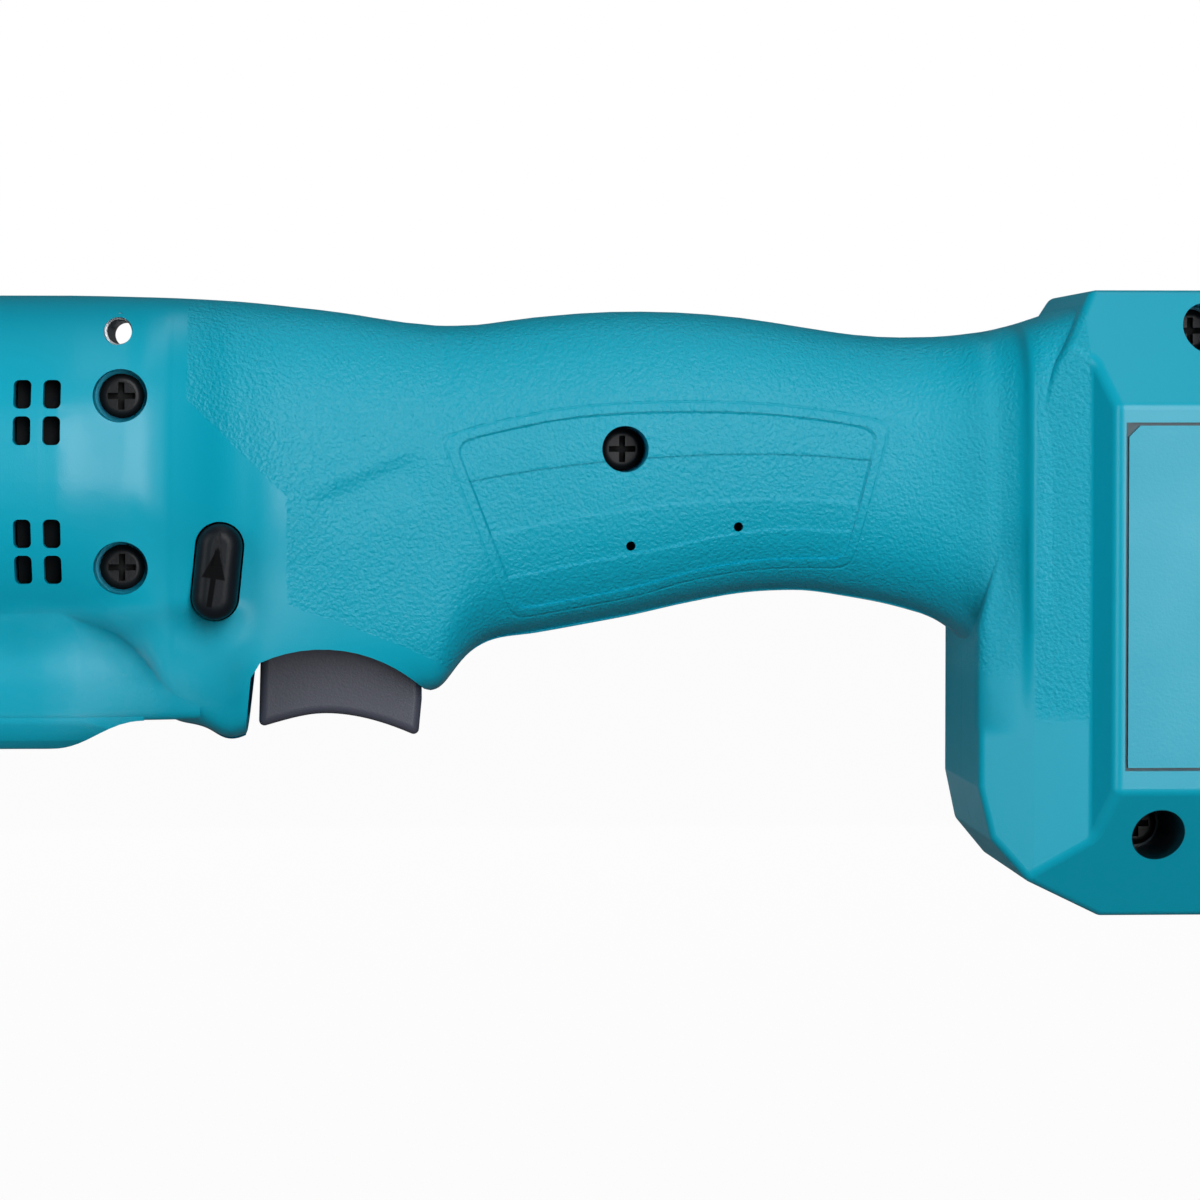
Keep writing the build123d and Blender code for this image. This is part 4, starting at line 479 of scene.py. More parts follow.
@dataclass(frozen=True)
class PlasticFinish:
    """A moulded plastic with a fine spark-eroded texture and slightly rubbed edges.

    It has shade painted into its colour, dark and matt, in narrow hollows within a reach or in a sunk arrow.
    """

    name: str
    base: Colour
    rubbed: Colour
    roughness: float = 0.42
    specular: float = 0.4
    pitch: float = 0.4 * MM
    depth: float = 0.04 * MM
    wear: float = 0.3
    painted_shade_reach: float = 0.0
    arrow: ArrowMark | None = None
    relief: float = 0.7
    warp: float = 0.6
    tone_pitch: float = 25 * MM
    tone_deep: float = 0.86
    tone_share: Spot = (0.9, 0.35)
    tone_gloss: float = 0.22
    edge_reach: float = 0.5 * MM
    edge_gloss: float = -0.12
    painted_shade_samples: int = 8
    painted_shade_edges: Spot = (0.75, 0.3)
    # Painted shade: share of the base colour, and roughness added, in hollows and in the arrow
    shade: float = 0.15
    shade_gloss: float = 0.5

    def painted_shade_mask(self, bench: Surface) -> Socket | None:
        """Works out where shade is painted into the plastic as dark, matt colour.

        Args:
            bench: The material that is being made.

        Returns:
            A mask, or nothing if the plastic has neither hollows nor an arrow.
        """
        if self.arrow:
            return self.arrow.mask(bench)
        if self.painted_shade_reach:
            hemmed = bench.add("AmbientOcclusion", samples=self.painted_shade_samples)
            return bench.ease(bench.feed(hemmed, Distance=self.painted_shade_reach).outputs["AO"], *self.painted_shade_edges)
        return None

    def make(self) -> Material:
        """Makes the material.

        Returns:
            The new material.
        """
        bench = Surface(self.name)
        tone = bench.effect(EFFECTS.handling(), Pitch=self.tone_pitch)
        edge = bench.effect(EFFECTS.wear(), Reach=self.edge_reach, Amount=self.wear)
        deep = tuple(channel * self.tone_deep for channel in self.base)
        colour = bench.blend(bench.calc("MULTIPLY_ADD", tone, *self.tone_share), self.base, deep)
        gloss = bench.calc("MULTIPLY_ADD", tone, self.tone_gloss, self.roughness)
        height = bench.effect(EFFECTS.grain(), Pitch=self.pitch, Warp=self.warp)
        colour = bench.blend(edge, colour, self.rubbed)
        gloss = bench.calc("MULTIPLY_ADD", edge, self.edge_gloss, gloss)
        # Painted shade: darker, matter colour where the hollows or the arrow lie
        shade = self.painted_shade_mask(bench)
        if shade is not None:
            colour = bench.blend(shade, colour, tuple(channel * self.shade for channel in self.base))
            gloss = bench.calc("MULTIPLY_ADD", shade, self.shade_gloss, gloss)
        normal = bench.bump(height, self.depth, self.relief)
        return bench.finish(Base_Color=colour, Roughness=gloss, Normal=normal, Specular_IOR_Level=self.specular)


@dataclass(frozen=True)
class MetalFinish:
    """A metal with machining marks that run one way, edges rubbed bright and, on some, fine bands along the tool."""

    name: str
    base: Colour
    dark: Colour
    roughness: float = 0.3
    streak: Streak = Streak.NONE
    pitch: float = 0.4 * MM
    depth: float = 0.02 * MM
    wear: float = 0.4
    bands: float = 0.0
    relief: float = 0.6
    mark_detail: float = 4.0
    mark_roughness: float = 0.6
    mark_edges: Spot = (0.3, 0.75)
    mark_share: float = 0.3
    tone_pitch: float = 12 * MM
    tone_gloss: float = 0.25
    edge_reach: float = 0.4 * MM
    edge_gloss: float = -0.1
    edge_lift: Spot = (1.35, 0.04)
    brightest: float = 0.95

    def make(self) -> Material:
        """Makes the material.

        Returns:
            The new material.
        """
        bench = Surface(self.name)
        turned = bench.feed(bench.add("Mapping"), Vector=bench.place, Scale=self.streak.value)
        height = bench.noise(turned.outputs[0], 1 / self.pitch, self.mark_detail, self.mark_roughness)
        if self.bands:
            lines = bench.add("TexWave", wave_type="BANDS", bands_direction="X", wave_profile="SAW")
            bench.feed(lines, Vector=bench.place, Scale=math.tau / WAVE_RATE / self.bands, Distortion=0.0)
            height = bench.calc("MULTIPLY_ADD", height, self.mark_share, lines.outputs["Fac"])
        tone = bench.effect(EFFECTS.handling(), Pitch=self.tone_pitch)
        edge = bench.effect(EFFECTS.wear(), Reach=self.edge_reach, Amount=self.wear)
        colour = bench.blend(bench.ease(height, *self.mark_edges), self.dark, self.base)
        gain, lift = self.edge_lift
        bright = tuple(min(channel * gain + lift, self.brightest) for channel in self.base)
        rough = bench.calc("MULTIPLY_ADD", tone, self.tone_gloss, self.roughness)
        return bench.finish(
            Base_Color=bench.blend(edge, colour, bright),
            Roughness=bench.calc("MULTIPLY_ADD", edge, self.edge_gloss, rough),
            Normal=bench.bump(height, self.depth, self.relief),
            Metallic=1.0,
        )


@dataclass(frozen=True)
class LensFinish:
    """A clear moulded lens with faint flow lines."""

    name: str = "clear_lens"
    clear: Colour = (0.93, 0.96, 0.97)
    cloudy: Colour = (0.86, 0.9, 0.92)
    roughness: float = 0.06
    tone_pitch: float = 4 * MM
    tone_gloss: float = 0.08
    ior: float = 1.49

    def make(self) -> Material:
        """Makes the material.

        Returns:
            The new material.
        """
        bench = Surface(self.name)
        tone = bench.effect(EFFECTS.handling(), Pitch=self.tone_pitch)
        return bench.finish(
            Base_Color=bench.blend(bench.calc("ADD", tone, 0.5), self.clear, self.cloudy),
            Roughness=bench.calc("MULTIPLY_ADD", tone, self.tone_gloss, self.roughness),
            Transmission_Weight=1.0,
            IOR=self.ior,
        )


@dataclass(frozen=True)
class BoardFinish:
    """A lacquered circuit board with faint copper tracks under the lacquer."""

    name: str = "board_green"
    lacquer: Colour = (0.02, 0.11, 0.045)
    track: Colour = (0.045, 0.2, 0.075)
    roughness: float = 0.3
    tone_pitch: float = 8 * MM
    tone_gloss: float = 0.2
    track_scale: float = 260.0
    track_gap: float = 0.06
    track_size: Spot = (2.6, 0.5)
    track_shift: float = 0.37
    track_rows: int = 3
    depth: float = 0.04 * MM
    relief: float = 0.4

    def make(self) -> Material:
        """Makes the material.

        Returns:
            The new material.
        """
        bench = Surface(self.name)
        quarter = math.pi / 2
        turned = bench.feed(bench.add("Mapping"), Vector=bench.place, Rotation=(quarter, 0, quarter))
        tracks = bench.add("TexBrick", offset=self.track_shift, offset_frequency=self.track_rows)
        bench.feed(tracks, Vector=turned.outputs[0], Scale=self.track_scale, Mortar_Size=self.track_gap)
        bench.feed(tracks, Brick_Width=self.track_size[0], Row_Height=self.track_size[1])
        tone = bench.effect(EFFECTS.handling(), Pitch=self.tone_pitch)
        return bench.finish(
            Base_Color=bench.blend(tracks.outputs["Fac"], self.lacquer, self.track),
            Roughness=bench.calc("MULTIPLY_ADD", tone, self.tone_gloss, self.roughness),
            Normal=bench.bump(tracks.outputs["Fac"], self.depth, self.relief),
        )


@dataclass(frozen=True)
class GripRelief:
    """Ledges of the grip panel and the short crease in front of it, as heights over the shell in millimetres."""

    top: Line = (
        (240.2, 6.2), (250.9, 8.9), (261.8, 10.7), (275.3, 11.4), (288.8, 11.2), (299.5, 10.2), (309.8, 8.4),
    )
    bottom: Line = (
        (250.9, -21.2), (259.0, -19.7), (269.8, -17.6), (280.6, -14.7), (291.4, -13.1), (304.4, -13.0),
    )
    ledges: tuple[Line, ...] = (
        ((234.0, -2.0), (242.9, 0.0), (264.4, 3.2), (283.3, 4.4), (294.1, 4.4), (308.6, 3.4), (316.0, 2.6)),
        ((236.0, -12.2), (246.3, -9.0), (267.1, -4.9), (288.7, -3.0), (307.0, -3.6), (316.0, -4.2)),
        ((238.0, -18.0), (249.9, -15.7), (272.5, -11.4), (294.1, -8.0), (305.4, -8.3), (316.0, -9.0)),
    )
    ledge_rises: tuple[float, ...] = (0.1, -0.12, -0.15)
    corner: float = 4.2
    draft: float = 0.45
    # Depth of the panel by height: it is deepest along its foot
    recess: Line = ((-22.0, 0.26), (-14.0, 0.16), (-4.0, 0.09), (12.0, 0.09))
    rim: float = 1.5
    rim_width: float = 0.3
    rim_depth: float = 0.1
    crease: tuple[Spot, Spot] = ((218.0, -2.6), (233.7, 4.1))
    crease_half_width: float = 1.5
    crease_run_out: float = 10.0
    crease_fade: float = 3.0
    crease_depth: float = 0.5
    ledge_ends: Spot = (0.1, 0.5)

    def inside(self, bench: Surface) -> Socket:
        """Works out how far a point is inside the panel's outline.

        Args:
            bench: The shell's surface.

        Returns:
            The distance's socket, below 0 outside the panel.
        """
        result = bench.calc("SUBTRACT", bench.follow(bench.x, self.top, True), bench.z)
        over_bottom = bench.calc("SUBTRACT", bench.z, bench.follow(bench.x, self.bottom, True))
        left = bench.across(self.top[0], self.bottom[0])
        right = bench.across(self.bottom[-1], self.top[-1])
        for edge in (over_bottom, left, right):
            result = bench.calc("SMOOTH_MIN", result, edge, self.corner)
        return result

    def height(self, bench: Surface) -> Socket:
        """Adds up the panel's ledges, its rim line and the crease.

        Args:
            bench: The shell's surface.

        Returns:
            The height's socket.
        """
        inside = self.inside(bench)
        depth = bench.follow(bench.z, self.recess, True)
        sunk = bench.times(bench.ease(inside, -self.draft, self.draft), depth, -1.0)
        off_rim = bench.calc("ABSOLUTE", bench.calc("ADD", inside, self.rim))
        rim = bench.times(bench.ease(off_rim, self.rim_width, 0.0), -self.rim_depth)
        within = bench.ease(inside, *self.ledge_ends)
        steps = []
        for line, rise in zip(self.ledges, self.ledge_rises):
            above = bench.calc("SUBTRACT", bench.z, bench.follow(bench.x, line, True))
            steps.append(bench.times(bench.ease(above, -self.draft, self.draft), within, rise))
        return bench.total(sunk, rim, *steps, self.crease_height(bench))

    def crease_height(self, bench: Surface) -> Socket:
        """Works out the crease: a ledge that faces down and runs out below.

        Args:
            bench: The shell's surface.

        Returns:
            The height's socket.
        """
        wide, fade = self.crease_half_width, self.crease_fade
        (x0, z0), (x1, z1) = self.crease
        middle = ((x0 + x1) / 2, (z0 + z1) / 2)
        above = bench.across(*self.crease)
        along = bench.across(middle, (middle[0] + z1 - z0, middle[1] - (x1 - x0)))
        half = math.hypot(x1 - x0, z1 - z0) / 2
        ledge = bench.between(above, (-self.crease_run_out, -wide, -wide, wide))
        ends = bench.ease(bench.calc("ABSOLUTE", along), half + fade, half - fade)
        return bench.times(ledge, ends, -self.crease_depth)


@dataclass(frozen=True)
class ShellFinish:
    """The satin teal shell: smooth barrel and box, with a leathery grain on the grip and one facet of the box."""

    name: str
    base: Colour = (0.0, 0.45, 0.63)
    deep: Colour = (0.0, 0.42, 0.59)
    # Colour of the shade painted into the plate's recess and the screw bore
    painted_shade_colour: Colour = (0.0, 0.06, 0.09)
    smooth_roughness: float = 0.32
    grained_roughness: float = 0.37
    specular: float = 0.4
    tone_pitch: float = 30 * MM
    tone_share: Spot = (0.8, 0.4)
    tone_gloss: float = 0.1
    satin_pitch: float = 0.28 * MM
    satin_warp: float = 0.5
    satin_depth: float = 0.02 * MM
    satin_relief: float = 0.5
    grain_pitch: float = 0.65 * MM
    grain_warp: float = 0.7
    grain_depth: float = 0.24
    grain_mean: float = 0.68
    # Contours along the tool as (distance, height over the skin): the shoulder behind the barrel, and the flare
    shoulder: Line = (
        (174.0, 0.0), (181.0, -0.05), (187.0, 0.2), (193.2, 0.85), (195.2, 0.7), (206.5, -1.6), (213.0, -2.3),
        (219.0, -2.4),
    )
    flare: Line = ((323.0, 0.0), (325.8, -0.1), (330.4, -1.4), (333.9, -0.1), (335.0, 0.0))
    # Heights between which the flare fades in, and how far the skin may face the grip
    flare_fade: Spot = (-42.0, -16.0)
    flare_turn: Spot = (-0.9, -0.6)
    # Contour up the post in front of the trigger as (height from the motor axis, height over the skin)
    post: Line = ((-42.0, 4.4), (-36.0, 3.0), (-28.0, 1.5), (-20.0, 0.5), (-12.0, 0.0), (0.0, 0.0))
    post_end: Spot = (222.0, 208.0)
    # Where bodies run softly into one another: limits of distance and of height, and of distance from the middle
    soft_zones: tuple[tuple[Limits, Limits], ...] = (
        ((150.0, 160.0, 202.0, 210.0), (-46.0, -43.0, -22.0, -18.0)),
        ((318.0, 324.0, 331.0, 334.0), (-42.0, -39.0, -8.0, -4.0)),
    )
    soft_reach: float = 12 * MM
    soft_samples: int = 8
    soft_side: Spot = (12.0, 18.0)
    relief: GripRelief = GripRelief()
    # Front edge of the grain as (height, distance along the tool), and the fades at its other edges
    front_edge: Line = (
        (-36.0, 246.0), (-29.4, 237.5), (-26.6, 231.7), (-22.8, 221.7), (-20.0, 213.4), (-2.4, 213.2), (13.2, 197.4),
        (32.0, 197.2),
    )
    front_blur: float = 0.25
    grip_end: Spot = (333.0, 330.0)
    flare_start: Spot = (305.0, 300.0)
    flare_foot: Spot = (-33.0, -29.0)
    facet: Limits = (333.8, 334.4, 342.0, 342.4)
    facet_foot: Spot = (-40.0, -36.0)
    # The plate's recess and the box's deep screw bore, where shade is painted into the colour
    recess_along: Limits = (346.82, 346.98, 380.92, 381.08)
    recess_up: Limits = (-46.18, -46.02, 9.42, 9.58)
    bore: Spot = (353.3, -56.8)
    bore_edge: Spot = (4.33, 4.25)

    def grained(self, bench: Surface) -> Socket:
        """Works out where the grain is.

        Args:
            bench: The shell's surface.

        Returns:
            A mask, 1 on grained skin.
        """
        x, z = bench.x, bench.z
        past = bench.calc("SUBTRACT", x, bench.follow(z, self.front_edge, False))
        front = bench.ease(past, -self.front_blur, self.front_blur)
        low = bench.calc("MAXIMUM", bench.ease(x, *self.flare_start), bench.ease(z, *self.flare_foot))
        grip = bench.times(front, bench.ease(x, *self.grip_end), low)
        return bench.calc("MAXIMUM", grip, bench.times(bench.between(x, self.facet), bench.ease(z, *self.facet_foot)))

    def softened(self, bench: Surface) -> Socket:
        """Turns the skin smoothly where the lobe and the box run into the grip, but not at the parting line.

        Args:
            bench: The shell's surface.

        Returns:
            The normal's socket.
        """
        zones = bench.total(*(bench.patch(*zone) for zone in self.soft_zones))
        share = bench.times(zones, bench.ease(bench.off_middle(), *self.soft_side))
        normal = bench.blend(share, bench.skin(), bench.rounded(self.soft_reach, self.soft_samples), Mixed.VECTOR)
        return bench.operate("VectorMath", "NORMALIZE", normal).outputs[0]

    def contour(self, bench: Surface) -> Socket:
        """Adds up the shoulder, the flare and the post.

        Args:
            bench: The shell's surface.

        Returns:
            The height's socket.
        """
        facing = bench.feed(bench.add("SeparateXYZ"), Vector=bench.skin()).outputs["X"]
        faded = bench.times(bench.follow(bench.x, self.flare, True), bench.ease(bench.z, *self.flare_fade))
        flare = bench.times(faded, bench.ease(facing, *self.flare_turn))
        post = bench.times(bench.follow(bench.z, self.post, True), bench.ease(bench.x, *self.post_end))
        return bench.total(bench.follow(bench.x, self.shoulder, True), flare, post)

    def make(self) -> Material:
        """Makes the material.

        Returns:
            The new material.
        """
        bench = Surface(self.name)
        mask = self.grained(bench)
        tone = bench.effect(EFFECTS.handling(), Pitch=self.tone_pitch)
        step = self.grained_roughness - self.smooth_roughness
        rough = bench.calc("MULTIPLY_ADD", mask, step, self.smooth_roughness)
        coarse = bench.effect(EFFECTS.grain(), Pitch=self.grain_pitch, Warp=self.grain_warp)
        satin = bench.effect(EFFECTS.grain(), Pitch=self.satin_pitch, Warp=self.satin_warp)
        grain = bench.times(bench.calc("SUBTRACT", coarse, self.grain_mean), mask, self.grain_depth)
        height = bench.total(grain, self.contour(bench), self.relief.height(bench))
        colour = bench.blend(bench.calc("MULTIPLY_ADD", tone, *self.tone_share), self.base, self.deep)
        # Painted shade: the plate's recess gap and the deep screw bore are coloured dark
        recess = bench.patch(self.recess_along, self.recess_up)
        shade = bench.calc("MAXIMUM", recess, bench.ease(bench.away(self.bore), *self.bore_edge))
        fine = bench.bump(satin, self.satin_depth, self.satin_relief, Normal=self.softened(bench))
        return bench.finish(
            Base_Color=bench.blend(shade, colour, self.painted_shade_colour),
            Roughness=bench.calc("MULTIPLY_ADD", tone, self.tone_gloss, rough),
            Normal=bench.bump(height, MM, 1.0, Normal=fine),
            Specular_IOR_Level=self.specular,
        )


class Finishes:
    """Every finish of the tool, by the record's material slot."""

    def __init__(self) -> None:
        """Makes all the materials."""
        around, along = Streak.AROUND, Streak.ALONG
        plain = [
            # Plastics: base, rubbed edges, roughness, specular level, grain pitch and depth, wear
            ShellFinish("teal_plastic"),
            PlasticFinish("plate_teal", (0.01, 0.46, 0.64), (0.05, 0.5, 0.68), 0.4, 0.45, 0.0005, 0.00003, 0.1),
            PlasticFinish("trigger_grey", (0.082, 0.086, 0.118), (0.12, 0.125, 0.155), 0.42, 0.4, 0.0004, 0.00003, 0.2),
            # The lever gets shade painted into its sunk arrow
            PlasticFinish("lever_black", (0.006, 0.009, 0.013), (0.02, 0.023, 0.028), 0.42, 0.22, 0.0005, 0.00003, 0.2,
                          arrow=ArrowMark((200.85, -20.1), (202.4, -10.4), 5.2, 1.9, 0.45)),
            # Black plastic gets shade painted into narrow hollows
            PlasticFinish("black_plastic", (0.01, 0.01, 0.011), (0.04, 0.04, 0.042), 0.5, 0.4, 0.0007, 0.00008, 0.4,
                          painted_shade_reach=0.006),
            PlasticFinish("holder_grey", (0.16, 0.16, 0.17), (0.22, 0.22, 0.23)),
            PlasticFinish("cell_wrap", (0.05, 0.2, 0.12), (0.1, 0.28, 0.18), 0.25, 0.5, 0.002, 0.00002, 0.1),
            BoardFinish(),
            LensFinish(),
            # Screws get shade painted into their recesses
            PlasticFinish("screw_black", (0.007, 0.008, 0.01), (0.03, 0.031, 0.035), 0.36, 0.3, 0.0003, 0.00002, 0.3,
                          painted_shade_reach=0.003),
            # Metals: base, dark marks, roughness, and which way the marks run
            MetalFinish("bright_steel", (0.62, 0.62, 0.63), (0.5, 0.5, 0.51), 0.24, around),
            MetalFinish("gear_steel", (0.4, 0.4, 0.41), (0.28, 0.28, 0.29), 0.34, along),
            MetalFinish("spring_steel", (0.45, 0.45, 0.47), (0.33, 0.33, 0.35), 0.3, around),
            MetalFinish("lamination", (0.3, 0.3, 0.32), (0.16, 0.16, 0.17), 0.45, bands=0.0005, depth=0.00008),
            MetalFinish("magnet", (0.5, 0.5, 0.5), (0.38, 0.38, 0.38), 0.3),
            MetalFinish("copper", (0.72, 0.3, 0.14), (0.5, 0.17, 0.07), 0.3, along, bands=0.0009, depth=0.00012),
            MetalFinish("contact_brass", (0.72, 0.53, 0.25), (0.58, 0.4, 0.17), 0.28, Streak.UPRIGHT),
            MetalFinish("cast_aluminium", (0.5, 0.51, 0.52), (0.4, 0.41, 0.42), 0.42, pitch=0.0006, depth=0.00006),
            MetalFinish("nut_steel", (0.34, 0.34, 0.35), (0.22, 0.22, 0.23), 0.34, around),
        ]
        self.by_slot = {finish.name: finish.make() for finish in plain}

    def paint(self, piece: Object, slot: str) -> None:
        """Gives a piece the finish that is kept under a slot of the record."""
        piece.data.materials.clear()
        piece.data.materials.append(self.by_slot[slot])


def deselect() -> None:
    """Leaves object mode with nothing selected."""
    if bpy.context.object and bpy.context.object.mode != "OBJECT":
        bpy.ops.object.mode_set(mode="OBJECT")
    bpy.ops.object.select_all(action="DESELECT")


def settle() -> None:
    """Puts the place of what is selected into its mesh."""
    bpy.ops.object.transform_apply(location=True, rotation=True, scale=True)


class Modelling:
    """A new piece that is shaped with Blender's own operators."""

    def __init__(self, name: str, middle: Point, size: Point) -> None:
        """Starts with a block.

        Args:
            name: The piece's name.
            middle: Where the block's middle is.
            size: The block's size along X, Y and Z.
        """
        deselect()
        bpy.ops.mesh.primitive_cube_add(size=1, location=middle, scale=size)
        self.adopt(name)

    def adopt(self, name: str) -> None:
        """Takes the new primitive under a name."""
        self.piece = bpy.context.object
        self.piece.name = self.piece.data.name = name
        settle()

    def take(self) -> None:
        """Selects this piece alone."""
        deselect()
        self.piece.select_set(True)
        bpy.context.view_layer.objects.active = self.piece

    @contextmanager
    def picked(self, kind: Pick, test: Test) -> Iterator[None]:
        """Goes into edit mode with faces or edges selected, and out again.

        Args:
            kind: What is picked.
            test: Says of a face's middle and normal, or of an edge's two ends, whether it is wanted.
        """
        self.take()
        bpy.ops.object.mode_set(mode="EDIT")
        bpy.ops.mesh.select_mode(type=kind.value)
        bpy.ops.mesh.select_all(action="DESELECT")
        bpy.ops.object.mode_set(mode="OBJECT")
        mesh = self.piece.data
        if kind is Pick.FACE:
            for face in mesh.polygons:
                face.select = test(face.center, face.normal)
        else:
            for edge in mesh.edges:
                edge.select = test(*(mesh.vertices[number].co for number in edge.vertices))
        bpy.ops.object.mode_set(mode="EDIT")
        yield
        bpy.ops.object.mode_set(mode="OBJECT")

    def round_corners(self, test: Test, radius: float, segments: int) -> None:
        """Rounds edges that are chosen by their two ends, with so many faces each."""
        with self.picked(Pick.EDGE, test):
            bpy.ops.mesh.bevel(offset=radius, segments=segments, affect="EDGES")

    def sink(self, test: Test, margin: float, move: Point) -> None:
        """Insets faces that are chosen by their middle and normal, and moves them in or out.

        Args:
            test: Says whether a face is wanted.
            margin: Width of the rim that is left.
            move: How far the inner face moves.
        """
        with self.picked(Pick.FACE, test):
            bpy.ops.mesh.inset(thickness=margin, depth=0)
            bpy.ops.mesh.extrude_region_move(TRANSFORM_OT_translate={"value": move})

    def turn(self, angle: float, middle: Point) -> None:
        """Turns the piece about a line across the tool.

        Args:
            angle: Degrees, from up towards the battery.
            middle: A point of the line.
        """
        self.take()
        bpy.ops.transform.rotate(value=-math.radians(angle), orient_axis="Y", center_override=middle)
        settle()

    def repeat(self, count: int, pitch: Point) -> None:
        """Copies the piece along a line and joins the copies to it.

        Args:
            count: How many there are in all.
            pitch: Step from each to the next.
        """
        copies = []
        for number in range(1, count):
            self.take()
            bpy.ops.object.duplicate()
            bpy.ops.transform.translate(value=tuple(step * number for step in pitch))
            copies.append(bpy.context.object)
        self.take()
        for piece in copies:
            piece.select_set(True)
        bpy.ops.object.join()
        settle()

    def soften(self, radius: float) -> None:
        """Rounds all sharp edges and shades the piece.

        Args:
            radius: How far the rounding reaches.
        """
        self.take()
        edge = self.piece.modifiers.new("soft_edges", "BEVEL")
        edge.width = radius
        edge.segments = SOFT_FACES
        edge.limit_method = "ANGLE"
        bpy.ops.object.modifier_apply(modifier=edge.name)
        bpy.ops.object.shade_smooth_by_angle(angle=SMOOTH_ANGLE)


@dataclass(frozen=True)
class Spring:
    """A coil spring that stands in for a solid one and moves whole with its body.

    Its radius runs to the middle of the wire.
    """

    node: str
    name: str
    body: str
    joint: str
    axis: Point
    travel: float
    radius: float
    wire: float
    turns: float
    shortest: float = 0.05
    wire_sides: int = 12
    steps_per_turn: int = 24


class Winding(Modelling):
    """A coil spring wound along Z, with closed ends."""

    def __init__(self, spring: Spring, length: float) -> None:
        """Winds the spring.

        Args:
            spring: The spring.
            length: Its length at rest.
        """
        deselect()
        spot, upright = (spring.radius, 0, spring.wire), (math.pi / 2, 0, 0)
        bpy.ops.mesh.primitive_circle_add(
            vertices=spring.wire_sides, radius=spring.wire, location=spot, rotation=upright
        )
        self.adopt(spring.name)
        wound = self.piece.modifiers.new("wound", "SCREW")
        wound.angle = math.tau * spring.turns
        wound.screw_offset = length - 2 * spring.wire
        wound.steps = wound.render_steps = round(spring.steps_per_turn * spring.turns)
        bpy.ops.object.modifier_apply(modifier=wound.name)
        bpy.ops.object.mode_set(mode="EDIT")
        bpy.ops.mesh.select_all(action="SELECT")
        bpy.ops.mesh.fill_holes(sides=0)
        bpy.ops.mesh.normals_make_consistent(inside=False)
        bpy.ops.object.mode_set(mode="OBJECT")
        bpy.ops.object.shade_smooth_by_angle(angle=SMOOTH_ANGLE)

    def centre(self, middle: Vector) -> None:
        """Moves the spring so that its middle is at a point.

        Args:
            middle: The point.
        """
        ways = list(zip(*(vertex.co for vertex in self.piece.data.vertices)))
        here = Vector([(min(way) + max(way)) / 2 for way in ways])
        self.take()
        bpy.ops.transform.translate(value=middle - here)
        settle()


@dataclass
class SubAssembly:
    """A group of solids and new pieces that are built and dressed together."""

    finishes: Finishes
    nodes: tuple[str, ...] = ()

    def build(self) -> None:
        """Makes the new pieces; most sub-assemblies have none."""

    def dress(self) -> None:
        """Gives each solid the finish of its slot in the record."""
        slots = {part["node"]: part["material_slot"] for part in frame["record"]["subparts"]}
        for node in self.nodes:
            self.finishes.paint(frame["nodes"][node], slots[node])
            LOG.info("dressed %s as %s", node, slots[node])

    def wind(self, spring: Spring, slot: str) -> None:
        """Makes a spring in place of the solid one and sets it whole on its body.

        Args:
            spring: The spring.
            slot: The record's slot that it takes its finish from.
        """
        low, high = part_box(spring.node)
        length = (high - low).dot(Vector(spring.axis))
        coil = Winding(spring, length)
        if spring.axis[0]:
            coil.turn(90, (0, 0, 0))
        coil.centre((low + high) / 2)
        self.place(coil, spring.body, slot)
        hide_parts(spring.node)
        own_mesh(coil.piece)

    def place(self, made: Modelling, body: str, slot: str) -> None:
        """Finishes a new piece and sets it on a body.

        Args:
            made: The new piece.
            body: The body that it moves with.
            slot: The record's slot that it takes its finish from.
        """
        self.finishes.paint(made.piece, slot)
        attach(made.piece, body)
        LOG.info("built %s on %s as %s", made.piece.name, body, slot)


@dataclass
class Housing(SubAssembly):
    """The two shell halves with their screws, plates, lamp, hanger sleeve and dust screen."""

    nodes: tuple[str, ...] = (
        "housing_left", "housing_right", "housing_screws", "dust_screen", "hanger_sleeve", "name_plates", "lamp_lens",
        "lamp_board",
    )


@dataclass
class Controls(SubAssembly):
    """Trigger, switch and reversing lever, and the electronics behind them."""

    nodes: tuple[str, ...] = (
        "trigger", "switch_plunger", "trigger_spring", "switch_body", "reverse_lever", "controller", "terminal_block",
        "terminal_blades",
    )
    flange_middle: Point = (202.1 * MM, -3.0 * MM, AXIS_Z - 14.5 * MM)
    flange_size: Point = (9.2 * MM, 3.0 * MM, 17.6 * MM)
    flange_corner: float = 4.2 * MM
    flange_soft: float = 0.2 * MM
    flange_tilt: float = 5.9
    corner_faces: int = 8
    spring: Spring = Spring(
        "trigger_spring", "trigger_coil", "housing", "trigger_pull", (0, 0, 1), 6 * MM, 4 * MM, 0.4 * MM, 4.2
    )

    def build(self) -> None:
        """Makes the trigger's spring, and the flange that shuts off the lever's slot from inside."""
        self.wind(self.spring, "spring_steel")
        flange = Modelling("lever_flange", self.flange_middle, self.flange_size)
        flange.round_corners(lambda a, b: abs(a.y - b.y) > LEVEL, self.flange_corner, self.corner_faces)
        flange.turn(self.flange_tilt, self.flange_middle)
        flange.soften(self.flange_soft)
        self.place(flange, "lever", "lever_black")


@dataclass
class Motor(SubAssembly):
    """The brushless motor and its fan."""

    nodes: tuple[str, ...] = (
        "stator_core", "stator_coils", "sensor_board", "motor_bearings", "bearing_bracket", "rotor_core",
        "rotor_magnets", "rotor_shaft", "fan",
    )


@dataclass
class GearTrain(SubAssembly):
    """Two planetary stages and the clutch, in the gear case."""

    nodes: tuple[str, ...] = (
        "ring_gear", "carrier_first", "planet_first_1", "planet_first_2", "planet_first_3", "carrier_second",
        "planet_second_1", "planet_second_2", "planet_second_3", "clutch_cam", "clutch_balls", "clutch_disc",
        "clutch_spring", "adjusting_nut", "window_cover", "drive_spindle", "spindle_bearing", "gear_case",
    )


